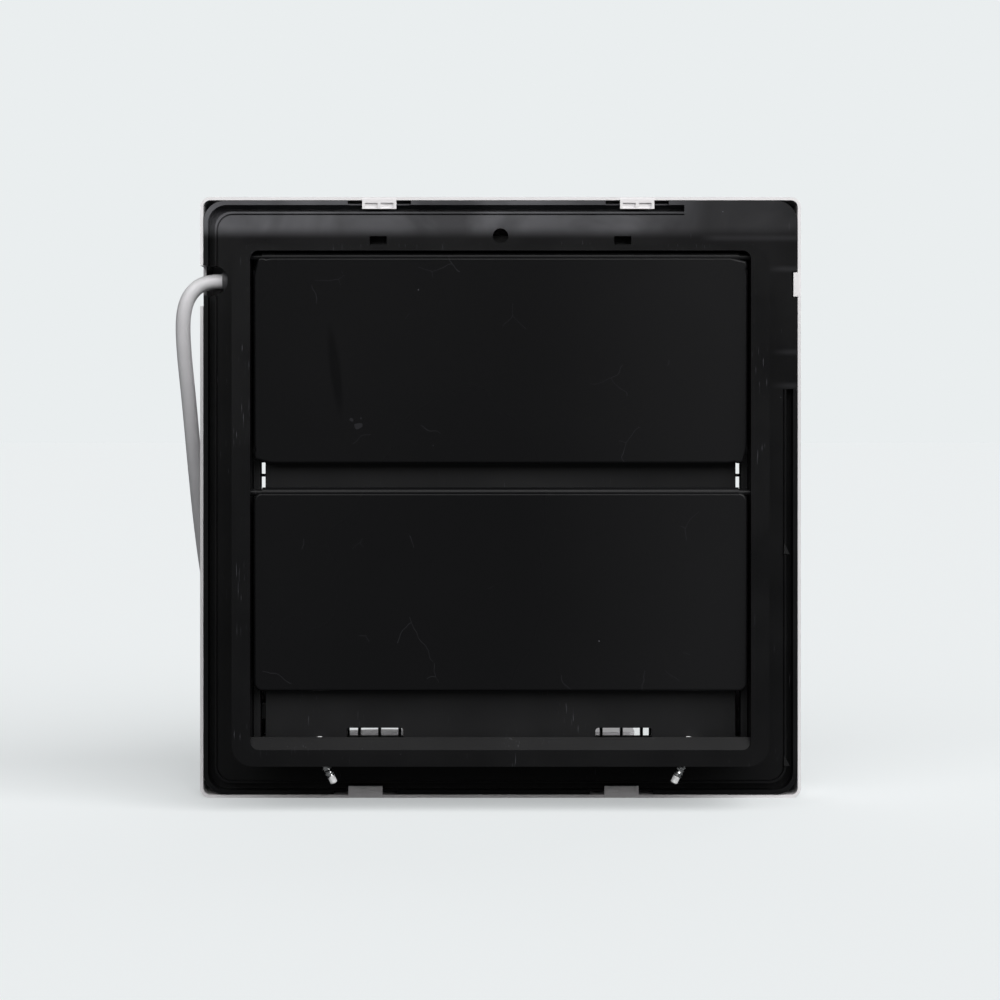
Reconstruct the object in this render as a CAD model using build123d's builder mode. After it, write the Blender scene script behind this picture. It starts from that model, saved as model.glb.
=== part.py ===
"""Square bathroom extractor fan with gravity flaps, for a wall or window opening.

Frame: +Z is up, -Y is the outdoor side with the collar and flaps, +Y is the room side.
The origin is on the surface that the fan stands on, below its middle; y = 0 is the wall
plane, where the flange of the rear housing meets the wall. Lengths are in millimetres.
"""

import os
from math import cos, pi, radians, sin

from build123d import *

os.makedirs("parts", exist_ok=True)

# ---------------------------------------------------------------- driving dimensions
PANEL = 290.0                # outside width and height of the white front frame
PANEL_DEPTH = 45.0           # wall plane to the front frame's face
COLLAR_DEPTH = 55.0          # wall plane to the collar's rim
COVER_STAND = 10.0           # front frame's face to the cover's face
DUCT_W = 231.4               # clear width of the air duct
DUCT_H = 230.7               # clear height of the air duct
COLLAR_SIDE = 8.5            # thickness of the double side walls of the collar
COLLAR_TOP = 2.8             # thickness of the single top wall
COLLAR_BOTTOM = 7.7          # thickness of the double bottom wall
SKIN = 2.0                   # moulded wall thickness of the black pieces
WHITE_SKIN = 1.5             # moulded wall thickness of the white pieces
IMPELLER_D = 188.0
TIP_GAP = 4.5                # impeller tip to orifice ring
MOTOR_D = 84.0
SHAFT_D = 8.0
CORD_D = 7.2
SNUG = 0.3                   # clearance between pieces that are clipped or laid together
RUN_GAP = 0.08               # radial clearance of a pin or shaft that turns in its hole

MID_Z = PANEL / 2            # height of the fan's centre
FRAME_IN = PANEL / 2 - WHITE_SKIN
FLANGE = FRAME_IN - SNUG     # half size of the black flange
FLANGE_R = 10.0
FLANGE_T = 10.0              # depth of the flange's edge
PLATE_T = 2.5                # thickness of the flange's flat plate

DUCT_RAISE = 0.35            # duct's middle above the fan's centre
DUCT_TOP = DUCT_H / 2 + DUCT_RAISE
DUCT_FLOOR = DUCT_TOP - DUCT_H
COLLAR_W = DUCT_W + 2 * COLLAR_SIDE
COLLAR_ROOF = DUCT_TOP + COLLAR_TOP
COLLAR_BASE = DUCT_FLOOR - COLLAR_BOTTOM
RIM_Y = -COLLAR_DEPTH
COVER_Y = PANEL_DEPTH + COVER_STAND


def section(y, z=MID_Z, x=0.0):
    """Plane facing outdoors at depth y, with its middle on the fan's centre line."""
    return Plane(origin=(x, y, z), x_dir=(1, 0, 0), z_dir=(0, -1, 0))


def save(piece, name):
    piece.part.label = name
    export_step(piece.part, f"parts/{name}.step")


# ---------------------------------------------------------------- rear housing
# Black moulding: a square flange with a drip groove round it, and a rectangular collar
# with hollow double walls that goes through the wall.
LIP = 2.0
GROOVE_W = 3.3
GROOVE_DEPTH = 8.0
RIDGE = 0.9
LINE_W = 0.8
LINE_DEPTH = 1.5
PLATEAU = FLANGE - LIP - GROOVE_W - RIDGE - LINE_W
SMOOTH_X = FLANGE - 54.5      # the groove stops at this place in the top right corner
SMOOTH_Z = FLANGE - 90.9
COLLAR_R = 10.0
DUCT_R = 4.0
RIM_T = 2.0
HOOK_SLOT_X, HOOK_SLOT_Z = 59.0, PLATEAU - 12.7
HOOK_SLOT_W, HOOK_SLOT_H = 8.2, 5.3
HANG_HOLE_R, HANG_HOLE_Z = 3.7, PLATEAU - 10.0
NOTCH_X, NOTCH_Z, NOTCH_R = 4.5 - FLANGE, PLATEAU - 31.5, 7.2
SILL_RISE, SILL_RUN = 5.5, 4.7

# Snap hooks of the front frame, two at the top and two at the bottom.
HOOK_W = 16.5
TOP_HOOKS = (-58.5, 66.0)
BOTTOM_HOOKS = (-65.2, 58.4)
HOOK_RECESS_W = HOOK_W + 14.0
HOOK_RECESS = 1.4
HOOK_SEAT = 2.0              # the lip is cut back this far, so that the heads lie flush
HOOK_HEAD = 4.2
HOOK_GAP = 0.2
KNOCKOUT_Z, KNOCKOUT_H, KNOCKOUT_W = NOTCH_Z - 1.9, 11.6, 2.6

# Flaps: each turns on two stub pivots at its top edge.
FLAP_GAP = 1.4               # flap's side to the duct's wall
FLAP_W = DUCT_W - 2 * FLAP_GAP
FLAP_T = 1.8
BARREL_R = 2.4
PIVOT_R = 1.5
PIVOT_Y = RIM_Y + 4.5
CROSSBAR_BOTTOM, CROSSBAR_TOP = 0.0, 22.5
BOTTOM_PLATE_TOP = DUCT_FLOOR + 33.0
UPPER_PIVOT_Z = DUCT_TOP - 0.5 - BARREL_R
LOWER_PIVOT_Z = CROSSBAR_BOTTOM + 3.8
UPPER_LAP, LOWER_LAP = 5.2, 6.2      # how far a flap hangs over the edge it closes on
UPPER_FLAP_H = UPPER_PIVOT_Z - CROSSBAR_TOP + UPPER_LAP
LOWER_FLAP_H = LOWER_PIVOT_Z - BOTTOM_PLATE_TOP + LOWER_LAP
FLAP_LEAN = 1.0              # degrees: the bottom edge lies further in than the pivot
PIVOTS = (UPPER_PIVOT_Z, LOWER_PIVOT_Z)

# Zinc plated fixing screws, driven outward through the collar's bottom wall.
FIX_XS = (-85.0, 88.2)       # where the screw's axis crosses the duct's floor
FIX_Y = RIM_Y + 9.0
FIX_LEAN = 25.0
FIX_R = 2.3
FIX_BOSS = 16.0
FIX_OUT = 10.5               # how far the tip stands out of the collar's bottom

# Orifice plate screws and motor bracket screws.
ORIFICE_HALF = PLATEAU - 9.2
ORIFICE_LOW_X, ORIFICE_HIGH_X = DUCT_W / 2 + 2.3, DUCT_W / 2 + 5.3
ORIFICE_SCREWS = tuple(
    (side * x, z)
    for x, z in ((ORIFICE_LOW_X, DUCT_FLOOR - 5.0), (ORIFICE_HIGH_X, 60.0))
    for side in (1, -1)
)
SCREW_R = 1.6
BOSS_R = 4.0
BOSS_H = 7.0

with BuildPart() as rear_housing:
    # flange, from its room side edge to the wall plane
    with BuildSketch(section(FLANGE_T)):
        RectangleRounded(2 * FLANGE, 2 * FLANGE, FLANGE_R)
    extrude(amount=FLANGE_T)
    with BuildSketch(section(FLANGE_T)):
        RectangleRounded(2 * PLATEAU, 2 * PLATEAU, FLANGE_R - 1)
    extrude(amount=FLANGE_T - PLATE_T, mode=Mode.SUBTRACT)
    # drip groove and the fine line inside it
    with BuildSketch(section(GROOVE_DEPTH)):
        half = FLANGE - LIP
        RectangleRounded(2 * half, 2 * half, FLANGE_R - 1)
        half -= GROOVE_W
        RectangleRounded(2 * half, 2 * half, FLANGE_R - 2, mode=Mode.SUBTRACT)
        with Locations((SMOOTH_X, SMOOTH_Z)):
            Rectangle(FLANGE, FLANGE, align=(Align.MIN, Align.MIN), mode=Mode.SUBTRACT)
    extrude(amount=GROOVE_DEPTH, mode=Mode.SUBTRACT)
    with BuildSketch(section(LINE_DEPTH)):
        half = PLATEAU + LINE_W
        RectangleRounded(2 * half, 2 * half, FLANGE_R - 2)
        RectangleRounded(2 * PLATEAU, 2 * PLATEAU, FLANGE_R - 3, mode=Mode.SUBTRACT)
        with Locations((SMOOTH_X, SMOOTH_Z)):
            Rectangle(FLANGE, FLANGE, align=(Align.MIN, Align.MIN), mode=Mode.SUBTRACT)
    extrude(amount=LINE_DEPTH, mode=Mode.SUBTRACT)
    # collar
    with BuildSketch(section(PLATE_T)):
        with Locations((0, (COLLAR_ROOF + COLLAR_BASE) / 2)):
            RectangleRounded(COLLAR_W, COLLAR_ROOF - COLLAR_BASE, COLLAR_R)
    extrude(amount=PLATE_T + COLLAR_DEPTH)
    with BuildSketch(section(PLATE_T)):
        with Locations((0, (DUCT_TOP + DUCT_FLOOR) / 2)):
            RectangleRounded(DUCT_W, DUCT_H, DUCT_R)
    extrude(amount=PLATE_T + COLLAR_DEPTH, mode=Mode.SUBTRACT)
    # hollows of the double walls, open towards the room
    with BuildSketch(section(PLATE_T)):
        pocket = COLLAR_SIDE - 2 * SKIN
        with Locations(
            (-(DUCT_W + COLLAR_SIDE) / 2, 0),
            ((DUCT_W + COLLAR_SIDE) / 2, 0),
        ):
            Rectangle(pocket, DUCT_H - 2 * COLLAR_R)
        with Locations((0, DUCT_FLOOR - COLLAR_BOTTOM / 2)):
            Rectangle(DUCT_W - 2 * COLLAR_R, COLLAR_BOTTOM - 2 * SKIN)
        with Locations(*[(x, DUCT_FLOOR - COLLAR_BOTTOM / 2) for x in FIX_XS]):
            Rectangle(FIX_BOSS, COLLAR_BOTTOM, mode=Mode.SUBTRACT)
    extrude(amount=PLATE_T + COLLAR_DEPTH - RIM_T, mode=Mode.SUBTRACT)
    # sloped sill along the duct's floor at the rim
    with BuildSketch(Plane.YZ.offset(-DUCT_W / 2 - SKIN / 2)):
        with BuildLine():
            Polyline(
                (RIM_Y, MID_Z + DUCT_FLOOR - SKIN / 2),
                (RIM_Y, MID_Z + DUCT_FLOOR),
                (RIM_Y + SILL_RUN - 1.0, MID_Z + DUCT_FLOOR + SILL_RISE),
                (RIM_Y + SILL_RUN, MID_Z + DUCT_FLOOR + SILL_RISE),
                (RIM_Y + SILL_RUN, MID_Z + DUCT_FLOOR - SKIN / 2),
                close=True,
            )
        make_face()
    extrude(amount=DUCT_W + SKIN)
    # bearing holes of the flaps in the inner side walls
    with Locations(*[(0, PIVOT_Y, MID_Z + z) for z in PIVOTS]):
        Cylinder(
            PIVOT_R + RUN_GAP,
            DUCT_W + 2 * SKIN + 1,
            rotation=(0, 90, 0),
            mode=Mode.SUBTRACT,
        )
    # holes of the fixing screws
    for x in FIX_XS:
        lean = FIX_LEAN if x < 0 else -FIX_LEAN
        with Locations(Location((x, FIX_Y, MID_Z + DUCT_FLOOR), (0, -lean, 0))):
            Cylinder(FIX_R + RUN_GAP, 6 * COLLAR_BOTTOM, mode=Mode.SUBTRACT)
    # bosses that the orifice plate is screwed to
    with BuildSketch(section(PLATE_T + BOSS_H)):
        with Locations(*ORIFICE_SCREWS):
            Circle(BOSS_R)
    extrude(amount=BOSS_H)
    with BuildSketch(section(PLATE_T + BOSS_H)):
        with Locations(*ORIFICE_SCREWS):
            Circle(SCREW_R)
    extrude(amount=BOSS_H, mode=Mode.SUBTRACT)
    # hook slots, hanging hole, cord notch, hook recesses and the knock-out's recess
    with BuildSketch(section(FLANGE_T)):
        with Locations((-HOOK_SLOT_X, HOOK_SLOT_Z), (HOOK_SLOT_X, HOOK_SLOT_Z)):
            Rectangle(HOOK_SLOT_W, HOOK_SLOT_H)
        with Locations((0, HANG_HOLE_Z)):
            Circle(HANG_HOLE_R)
        with Locations((NOTCH_X, NOTCH_Z)):
            Circle(NOTCH_R)
            Rectangle(FLANGE, 2 * NOTCH_R, align=(Align.MAX, Align.CENTER))
        with Locations(*[(x, FLANGE) for x in TOP_HOOKS], *[(x, -FLANGE) for x in BOTTOM_HOOKS]):
            Rectangle(HOOK_RECESS_W, 2 * HOOK_RECESS)
        with Locations((FLANGE, KNOCKOUT_Z)):
            Rectangle(2 * KNOCKOUT_W, KNOCKOUT_H + 2 * SNUG)
    extrude(amount=FLANGE_T, mode=Mode.SUBTRACT)
    # seats that the heads of the hooks lie in, flush with the flange's face
    with BuildSketch(section(HOOK_SEAT)):
        with Locations(*[(x, FLANGE) for x in TOP_HOOKS], *[(x, -FLANGE) for x in BOTTOM_HOOKS]):
            Rectangle(HOOK_RECESS_W, 2 * (HOOK_HEAD + SNUG))
    extrude(amount=HOOK_SEAT, mode=Mode.SUBTRACT)
save(rear_housing, "rear_housing")

# ---------------------------------------------------------------- shutter frame
# Black moulding clipped into the collar behind the flaps, which rest on its crossbar
# and bottom plate.
SHUTTER_Y = RIM_Y + 14.0     # face that the flaps close against
SHUTTER_T = 8.0
SHUTTER_SIDE = 3.3
CROSSBAR_HALF = DUCT_W / 2 - 5.9     # half length between the two light gaps
GAP_BOTTOM, GAP_TOP = CROSSBAR_BOTTOM + 5.0, CROSSBAR_TOP - 5.0
BOTTOM_GAP_TOP = BOTTOM_PLATE_TOP - 5.0
TOP_MEMBER_BOTTOM = DUCT_TOP - 11.7
WINDOW_HALF = DUCT_W / 2 - 9.7
GAP_BOSS_Z, GAP_BOSS_R, GAP_BOSS_H = DUCT_FLOOR + 15.8, 4.0, 8.5
MOUSE_HOLES = ((-58.7, 26.4), (57.5, 26.3))
MOUSE_H = 8.3
SHUTTER_BASE = DUCT_FLOOR + SNUG

with BuildPart() as shutter_frame:
    with BuildSketch(section(SHUTTER_Y + SHUTTER_T)):
        with Locations((0, (DUCT_TOP - SNUG + SHUTTER_BASE) / 2)):
            RectangleRounded(DUCT_W - 2 * SNUG, DUCT_H - 2 * SNUG, DUCT_R)
        for low, high in (
            (CROSSBAR_TOP, TOP_MEMBER_BOTTOM),
            (BOTTOM_PLATE_TOP, CROSSBAR_BOTTOM),
        ):
            with Locations((0, (low + high) / 2)):
                Rectangle(2 * WINDOW_HALF, high - low, mode=Mode.SUBTRACT)
        gap = DUCT_W / 2 - SNUG - SHUTTER_SIDE - CROSSBAR_HALF
        for low, high in ((GAP_BOTTOM, GAP_TOP), (SHUTTER_BASE + SKIN, BOTTOM_GAP_TOP)):
            with Locations(
                (-CROSSBAR_HALF - gap / 2, (low + high) / 2),
                (CROSSBAR_HALF + gap / 2, (low + high) / 2),
            ):
                Rectangle(gap, high - low, mode=Mode.SUBTRACT)
        for x, width in MOUSE_HOLES:
            with Locations((x, SHUTTER_BASE)):
                RectangleRounded(width, 2 * MOUSE_H, 1.5, mode=Mode.SUBTRACT)
    extrude(amount=SHUTTER_T)
    # back of the crossbar and of the plates hollowed out to a moulded wall
    with BuildSketch(section(SHUTTER_Y + SHUTTER_T)):
        with Locations((0, (CROSSBAR_BOTTOM + CROSSBAR_TOP) / 2)):
            Rectangle(2 * CROSSBAR_HALF - 6 * SKIN, CROSSBAR_TOP - CROSSBAR_BOTTOM - 2 * SKIN)
        with Locations((0, (TOP_MEMBER_BOTTOM + DUCT_TOP - SNUG) / 2)):
            Rectangle(2 * CROSSBAR_HALF - 6 * SKIN, DUCT_TOP - SNUG - TOP_MEMBER_BOTTOM - 2 * SKIN)
    extrude(amount=SHUTTER_T - SKIN, mode=Mode.SUBTRACT)
    # boss halfway up the left light gap
    with BuildSketch(section(SHUTTER_Y + SHUTTER_T)):
        with Locations((-CROSSBAR_HALF - gap, GAP_BOSS_Z)):
            Circle(GAP_BOSS_R)
            Rectangle(GAP_BOSS_R, GAP_BOSS_H, align=(Align.MAX, Align.CENTER), mode=Mode.SUBTRACT)
        with Locations((-CROSSBAR_HALF, GAP_BOSS_Z)):
            Rectangle(2 * GAP_BOSS_R, GAP_BOSS_H, align=(Align.MIN, Align.CENTER), mode=Mode.SUBTRACT)
    extrude(amount=SKIN)
save(shutter_frame, "shutter_frame")

# ---------------------------------------------------------------- flaps
# Light black mouldings that hang from stub pivots; the fan's air lifts them outwards.
PIVOT_OUT = 1.3              # how far a stub reaches into the inner side wall


def make_flap(pivot_z, height, corner, cut):
    """One flap: a plate with turned-in sides and bottom, a barrel and two pivots."""
    hinge = Location((0, PIVOT_Y, MID_Z + pivot_z), (FLAP_LEAN, 0, 0))
    flap = BuildPart()
    with flap:
        # sheet hanging from the barrel, drawn with the pivot's axis at the origin
        with BuildSketch(Plane.XZ.offset(BARREL_R - FLAP_T)) as outline:
            with Locations((0, -height / 2)):
                Rectangle(FLAP_W, height)
            fillet(outline.vertices().group_by(Axis.Z)[-1], DUCT_R)
            low = outline.vertices().group_by(Axis.Z)[0]
            if cut:
                chamfer(low, corner)
            else:
                fillet(low, corner)
        extrude(amount=FLAP_T)
        outer = flap.faces().sort_by(Axis.Y)[0]
        fillet(outer.edges(), 0.7 * FLAP_T)
        with BuildSketch(Plane.YZ.offset(DUCT_R - FLAP_W / 2)):
            Circle(BARREL_R)
        extrude(amount=FLAP_W - 2 * DUCT_R)
        # turned-in sides and bottom, which stop at the shutter frame's face
        turn = SHUTTER_Y - PIVOT_Y - SNUG - height * sin(radians(FLAP_LEAN))
        with BuildSketch(Plane.XZ.offset(-turn)):
            for side in (-1, 1):
                with Locations((side * (FLAP_W - FLAP_T) / 2, -height / 2)):
                    Rectangle(FLAP_T, height - 3 * corner)
            with Locations((0, -height + FLAP_T / 2)):
                Rectangle(FLAP_W - 4 * corner, FLAP_T)
            with Locations((0, -height / 2)):
                with GridLocations(FLAP_W / 5, 1, 4, 1):
                    Rectangle(FLAP_T, height - 3 * corner)
        extrude(amount=turn + BARREL_R - FLAP_T / 2)
        # stub pivots
        for side in (-1, 1):
            with BuildSketch(Plane.YZ.offset(side * (FLAP_W / 2 - 2 * DUCT_R))):
                Circle(PIVOT_R)
            extrude(amount=side * ((DUCT_W - FLAP_W) / 2 + 2 * DUCT_R + PIVOT_OUT))
    return flap, hinge


for name, pivot_z, height, corner, cut in (
    ("upper_flap", UPPER_PIVOT_Z, UPPER_FLAP_H, 4.0, True),
    ("lower_flap", LOWER_PIVOT_Z, LOWER_FLAP_H, 3.0, False),
):
    drawn, hinge = make_flap(pivot_z, height, corner, cut)
    with BuildPart() as hung:
        add(drawn.part.moved(hinge))
    save(hung, name)

# ---------------------------------------------------------------- orifice plate
# Black moulding on the flange's room side: a flat plate with a bell mouth round the
# impeller, screwed to the housing's bosses.
ORIFICE_Y = PLATE_T + BOSS_H         # the plate lies on the bosses
ORIFICE_T = 2.5
ORIFICE_R = IMPELLER_D / 2 + TIP_GAP
RING_LENGTH = 27.0
MOUTH_R = 6.0
BOX_X, BOX_Z = 4.2 - PLATEAU, PLATEAU - 50.2     # the wiring box's outer bottom corner
BOX_W, BOX_H = 46.0, 44.0
LIGHT_SLOT_X, LIGHT_SLOT_W = DUCT_W / 2 - 0.5, 4.0
LIGHT_SLOTS = ((CROSSBAR_BOTTOM, CROSSBAR_TOP + 1.5), (DUCT_FLOOR - 1.0, BOTTOM_PLATE_TOP - 2.0))
FOOT_R = ORIFICE_R + MOUTH_R + 3.0   # the bracket's feet, measured along the diagonals
BRACKET_FOOT = FOOT_R / 2 ** 0.5
RING_R = ORIFICE_R + SKIN

with BuildPart() as orifice_plate:
    with BuildSketch(section(ORIFICE_Y + ORIFICE_T)):
        RectangleRounded(2 * ORIFICE_HALF, 2 * ORIFICE_HALF, 8)
        with Locations((-ORIFICE_HALF, ORIFICE_HALF)):
            Rectangle(
                2 * (BOX_X + BOX_W + ORIFICE_HALF + 1),
                2 * (ORIFICE_HALF - BOX_Z + 1),
                mode=Mode.SUBTRACT,
            )
        Circle(ORIFICE_R + MOUTH_R, mode=Mode.SUBTRACT)
        with Locations(*ORIFICE_SCREWS):
            Circle(SCREW_R + 0.2, mode=Mode.SUBTRACT)
        for low, high in LIGHT_SLOTS:
            with Locations((-LIGHT_SLOT_X, (low + high) / 2), (LIGHT_SLOT_X, (low + high) / 2)):
                Rectangle(LIGHT_SLOT_W, high - low, mode=Mode.SUBTRACT)
        for x, width in MOUSE_HOLES:
            with Locations((x, DUCT_FLOOR + 1.4)):
                Rectangle(width + 3, MOUSE_H + 0.7, mode=Mode.SUBTRACT)
    extrude(amount=ORIFICE_T)
    # bell mouth and ring, turned about the fan's axis
    with BuildSketch(Plane(origin=(0, 0, MID_Z), x_dir=(1, 0, 0), z_dir=(0, 0, 1))):
        with BuildLine():
            front = ORIFICE_Y + ORIFICE_T
            back = front - RING_LENGTH
            outer = ORIFICE_R + MOUTH_R
            Polyline((ORIFICE_R, front - MOUTH_R), (ORIFICE_R, back), (RING_R, back))
            Polyline((RING_R, back), (RING_R, front - MOUTH_R))
            RadiusArc((RING_R, front - MOUTH_R), (outer, ORIFICE_Y), MOUTH_R - ORIFICE_T)
            Line((outer, ORIFICE_Y), (outer, front))
            RadiusArc((outer, front), (ORIFICE_R, front - MOUTH_R), -MOUTH_R)
        make_face()
    revolve(axis=Axis((0, 0, MID_Z), (0, 1, 0)))
    # pilot holes of the bracket's screws
    with BuildSketch(section(ORIFICE_Y + ORIFICE_T)):
        with GridLocations(2 * BRACKET_FOOT, 2 * BRACKET_FOOT, 2, 2):
            Circle(SCREW_R)
    extrude(amount=ORIFICE_T, mode=Mode.SUBTRACT)
save(orifice_plate, "orifice_plate")


def pan_screw(spots, y, length, radius, head_r, head_t, name):
    """Pan head screws with a cross recess, driven outdoors from depth y."""
    with BuildPart() as screws:
        with BuildSketch(section(y + head_t)):
            with Locations(*spots):
                Circle(head_r)
        extrude(amount=head_t)
        fillet(screws.edges().filter_by(GeomType.CIRCLE).group_by(Axis.Y)[-1], 0.35 * head_t)
        with BuildSketch(section(y)):
            with Locations(*spots):
                Circle(radius)
        extrude(amount=length)
        with BuildSketch(section(y + head_t)):
            with Locations(*spots):
                Rectangle(head_r, 0.2 * head_r)
                Rectangle(0.2 * head_r, head_r)
        extrude(amount=0.5 * head_t, mode=Mode.SUBTRACT)
    save(screws, name)


HEAD_R, HEAD_T = 3.2, 2.0
SMALL_HEAD_R, SMALL_HEAD_T = 2.8, 1.6
pan_screw(
    ORIFICE_SCREWS,
    ORIFICE_Y + ORIFICE_T,
    BOSS_H + ORIFICE_T,
    SCREW_R,
    HEAD_R,
    HEAD_T,
    "orifice_screws",
)

# ---------------------------------------------------------------- motor
# Capacitor run motor on the room side of the impeller: two pressed end shells clamp the
# laminated core, and the rotor's shaft turns in two bearings.
MOTOR_R = MOTOR_D / 2
SHELL_T = 1.5
CORE_BACK, CORE_FRONT = 14.0, 26.0
MOTOR_BACK, MOTOR_FRONT = 4.0, 38.0
CORE_R = MOTOR_R - SHELL_T
BORE_R = 23.0
ROTOR_R = 22.4
BEARING_R = 9.0
BEARING_T = 6.0
NOSE_R = BEARING_R + SHELL_T
SHAFT_R = SHAFT_D / 2
SHAFT_BACK = -25.0
AXIS = Axis((0, 0, MID_Z), (0, 1, 0))
HALF_SECTION = Plane(origin=(0, 0, MID_Z), x_dir=(1, 0, 0), z_dir=(0, 0, 1))
SHELL_BEVEL = 8.0
VENT_AT, VENT_L, VENT_W, VENTS = 22.0, 14.0, 4.0, 8
WINDING_IN, WINDING_OUT = 27.5, 33.5
WINDING_L = 5.0              # how far the end turns stand out of the core
SLOT_AT, SLOT_L, SLOT_W, SLOTS = 31.0, 9.0, 7.0, 8
SLOT_COIL_L, SLOT_COIL_W = 8.4, 4.8
END_RING = 2.0


def end_shell(name, middle, end):
    """Pressed cup from the core's middle to the motor's end, with a bearing seat."""
    way = 1 if end > middle else -1
    with BuildPart() as shell:
        with BuildSketch(HALF_SECTION):
            with BuildLine():
                Polyline(
                    (MOTOR_R, middle),
                    (MOTOR_R, end - way * SHELL_BEVEL),
                    (MOTOR_R - SHELL_BEVEL, end),
                    (SHAFT_R + 1.0, end),
                    (SHAFT_R + 1.0, end - way * SHELL_T),
                    (BEARING_R, end - way * SHELL_T),
                    (BEARING_R, end - way * (SHELL_T + BEARING_T)),
                    (NOSE_R, end - way * (SHELL_T + BEARING_T)),
                    (NOSE_R, end - way * SHELL_T),
                    (MOTOR_R - SHELL_BEVEL - SHELL_T / 2, end - way * SHELL_T),
                    (CORE_R, end - way * (SHELL_BEVEL + SHELL_T / 2)),
                    (CORE_R, middle),
                    close=True,
                )
            make_face()
        revolve(axis=AXIS)
        # cooling slots in the flat end
        with BuildSketch(section(end)):
            with PolarLocations(VENT_AT, VENTS, start_angle=180 / VENTS):
                SlotOverall(VENT_L, VENT_W)
        extrude(amount=2 * SHELL_T, both=True, mode=Mode.SUBTRACT)
    save(shell, name)


MIDDLE = (CORE_BACK + CORE_FRONT) / 2
end_shell("motor_rear_shell", MIDDLE - SNUG / 2, MOTOR_BACK)
end_shell("motor_front_shell", MIDDLE + SNUG / 2, MOTOR_FRONT)

with BuildPart() as stator_core:
    with BuildSketch(section(CORE_FRONT)):
        Circle(CORE_R)
        Circle(BORE_R, mode=Mode.SUBTRACT)
        with PolarLocations(SLOT_AT, SLOTS):
            SlotOverall(SLOT_L, SLOT_W, rotation=90, mode=Mode.SUBTRACT)
    extrude(amount=CORE_FRONT - CORE_BACK)
save(stator_core, "stator_core")

with BuildPart() as stator_windings:
    # coils that pass through the core's slots and turn over in a ring at each end
    for end in (CORE_FRONT + WINDING_L, CORE_BACK):
        with BuildSketch(section(end)):
            Circle(WINDING_OUT)
            Circle(WINDING_IN, mode=Mode.SUBTRACT)
        extrude(amount=WINDING_L)
    with BuildSketch(section(CORE_FRONT)):
        with PolarLocations(SLOT_AT, SLOTS):
            SlotOverall(SLOT_COIL_L, SLOT_COIL_W, rotation=90)
    extrude(amount=CORE_FRONT - CORE_BACK)
save(stator_windings, "stator_windings")

for name, face in (
    ("rear_bearing", MOTOR_BACK + SHELL_T + BEARING_T),
    ("front_bearing", MOTOR_FRONT - SHELL_T),
):
    with BuildPart() as bearing:
        with BuildSketch(section(face)):
            Circle(BEARING_R)
            Circle(SHAFT_R + RUN_GAP, mode=Mode.SUBTRACT)
        extrude(amount=BEARING_T)
    save(bearing, name)

with BuildPart() as motor_shaft:
    with BuildSketch(section(MOTOR_FRONT - 1.0)):
        Circle(SHAFT_R)
    extrude(amount=MOTOR_FRONT - 1.0 - SHAFT_BACK)
    chamfer(motor_shaft.edges().filter_by(GeomType.CIRCLE), 0.5)
save(motor_shaft, "motor_shaft")

with BuildPart() as rotor_core:
    with BuildSketch(section(CORE_FRONT)):
        Circle(ROTOR_R)
        Circle(SHAFT_R, mode=Mode.SUBTRACT)
    extrude(amount=CORE_FRONT - CORE_BACK)
    for end in (CORE_FRONT + END_RING, CORE_BACK):
        with BuildSketch(section(end)):
            Circle(ROTOR_R - 1.5)
            Circle(ROTOR_R - 8.0, mode=Mode.SUBTRACT)
        extrude(amount=END_RING)
save(rotor_core, "rotor_core")

# ---------------------------------------------------------------- motor bracket
# Galvanised pressed spider: a band round the motor and four legs down to the plate.
BAND_T = 1.5
BAND_BACK, BAND_FRONT = 15.0, 25.0
LEG_W = 14.0
FOOT_FACE = ORIFICE_Y + ORIFICE_T

with BuildPart() as motor_bracket:
    with BuildSketch(section(BAND_FRONT)):
        Circle(MOTOR_R + BAND_T)
        Circle(MOTOR_R, mode=Mode.SUBTRACT)
    extrude(amount=BAND_FRONT - BAND_BACK)
    for turn in (45, 135, 225, 315):
        leg_plane = Plane(
            origin=(0, 0, MID_Z),
            x_dir=(cos(radians(turn)), 0, sin(radians(turn))),
            z_dir=(-sin(radians(turn)), 0, cos(radians(turn))),
        )
        # leg's side view: local x runs outwards and local y towards the room
        with BuildSketch(leg_plane):
            with BuildLine():
                Polyline(
                    (MOTOR_R + BAND_T / 2, BAND_FRONT),
                    (FOOT_R - 16.0, BAND_FRONT),
                    (FOOT_R - 8.0, FOOT_FACE + BAND_T),
                    (FOOT_R + 7.0, FOOT_FACE + BAND_T),
                    (FOOT_R + 7.0, FOOT_FACE),
                    (FOOT_R - 9.0, FOOT_FACE),
                    (FOOT_R - 17.0, BAND_FRONT - BAND_T),
                    (MOTOR_R + BAND_T / 2, BAND_FRONT - BAND_T),
                    close=True,
                )
            make_face()
        extrude(amount=LEG_W / 2, both=True)
    with BuildSketch(section(FOOT_FACE + BAND_T)):
        with GridLocations(2 * BRACKET_FOOT, 2 * BRACKET_FOOT, 2, 2):
            Circle(SCREW_R + 0.2)
    extrude(amount=BAND_T, mode=Mode.SUBTRACT)
save(motor_bracket, "motor_bracket")
FEET = [(x * BRACKET_FOOT, z * BRACKET_FOOT) for x in (-1, 1) for z in (-1, 1)]
pan_screw(FEET, FOOT_FACE + BAND_T, BAND_T + ORIFICE_T, SCREW_R, HEAD_R, HEAD_T, "bracket_screws")

# ---------------------------------------------------------------- impeller
# Axial impeller on the shaft's outdoor end, held by a drive pin and a cap nut.
HUB_R = 30.0
HUB_BACK, HUB_FRONT = -22.0, 1.0
HUB_WALL = 2.5
BLADES = 5
BLADE_MID = -9.5
BLADE_T = 2.0
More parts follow.
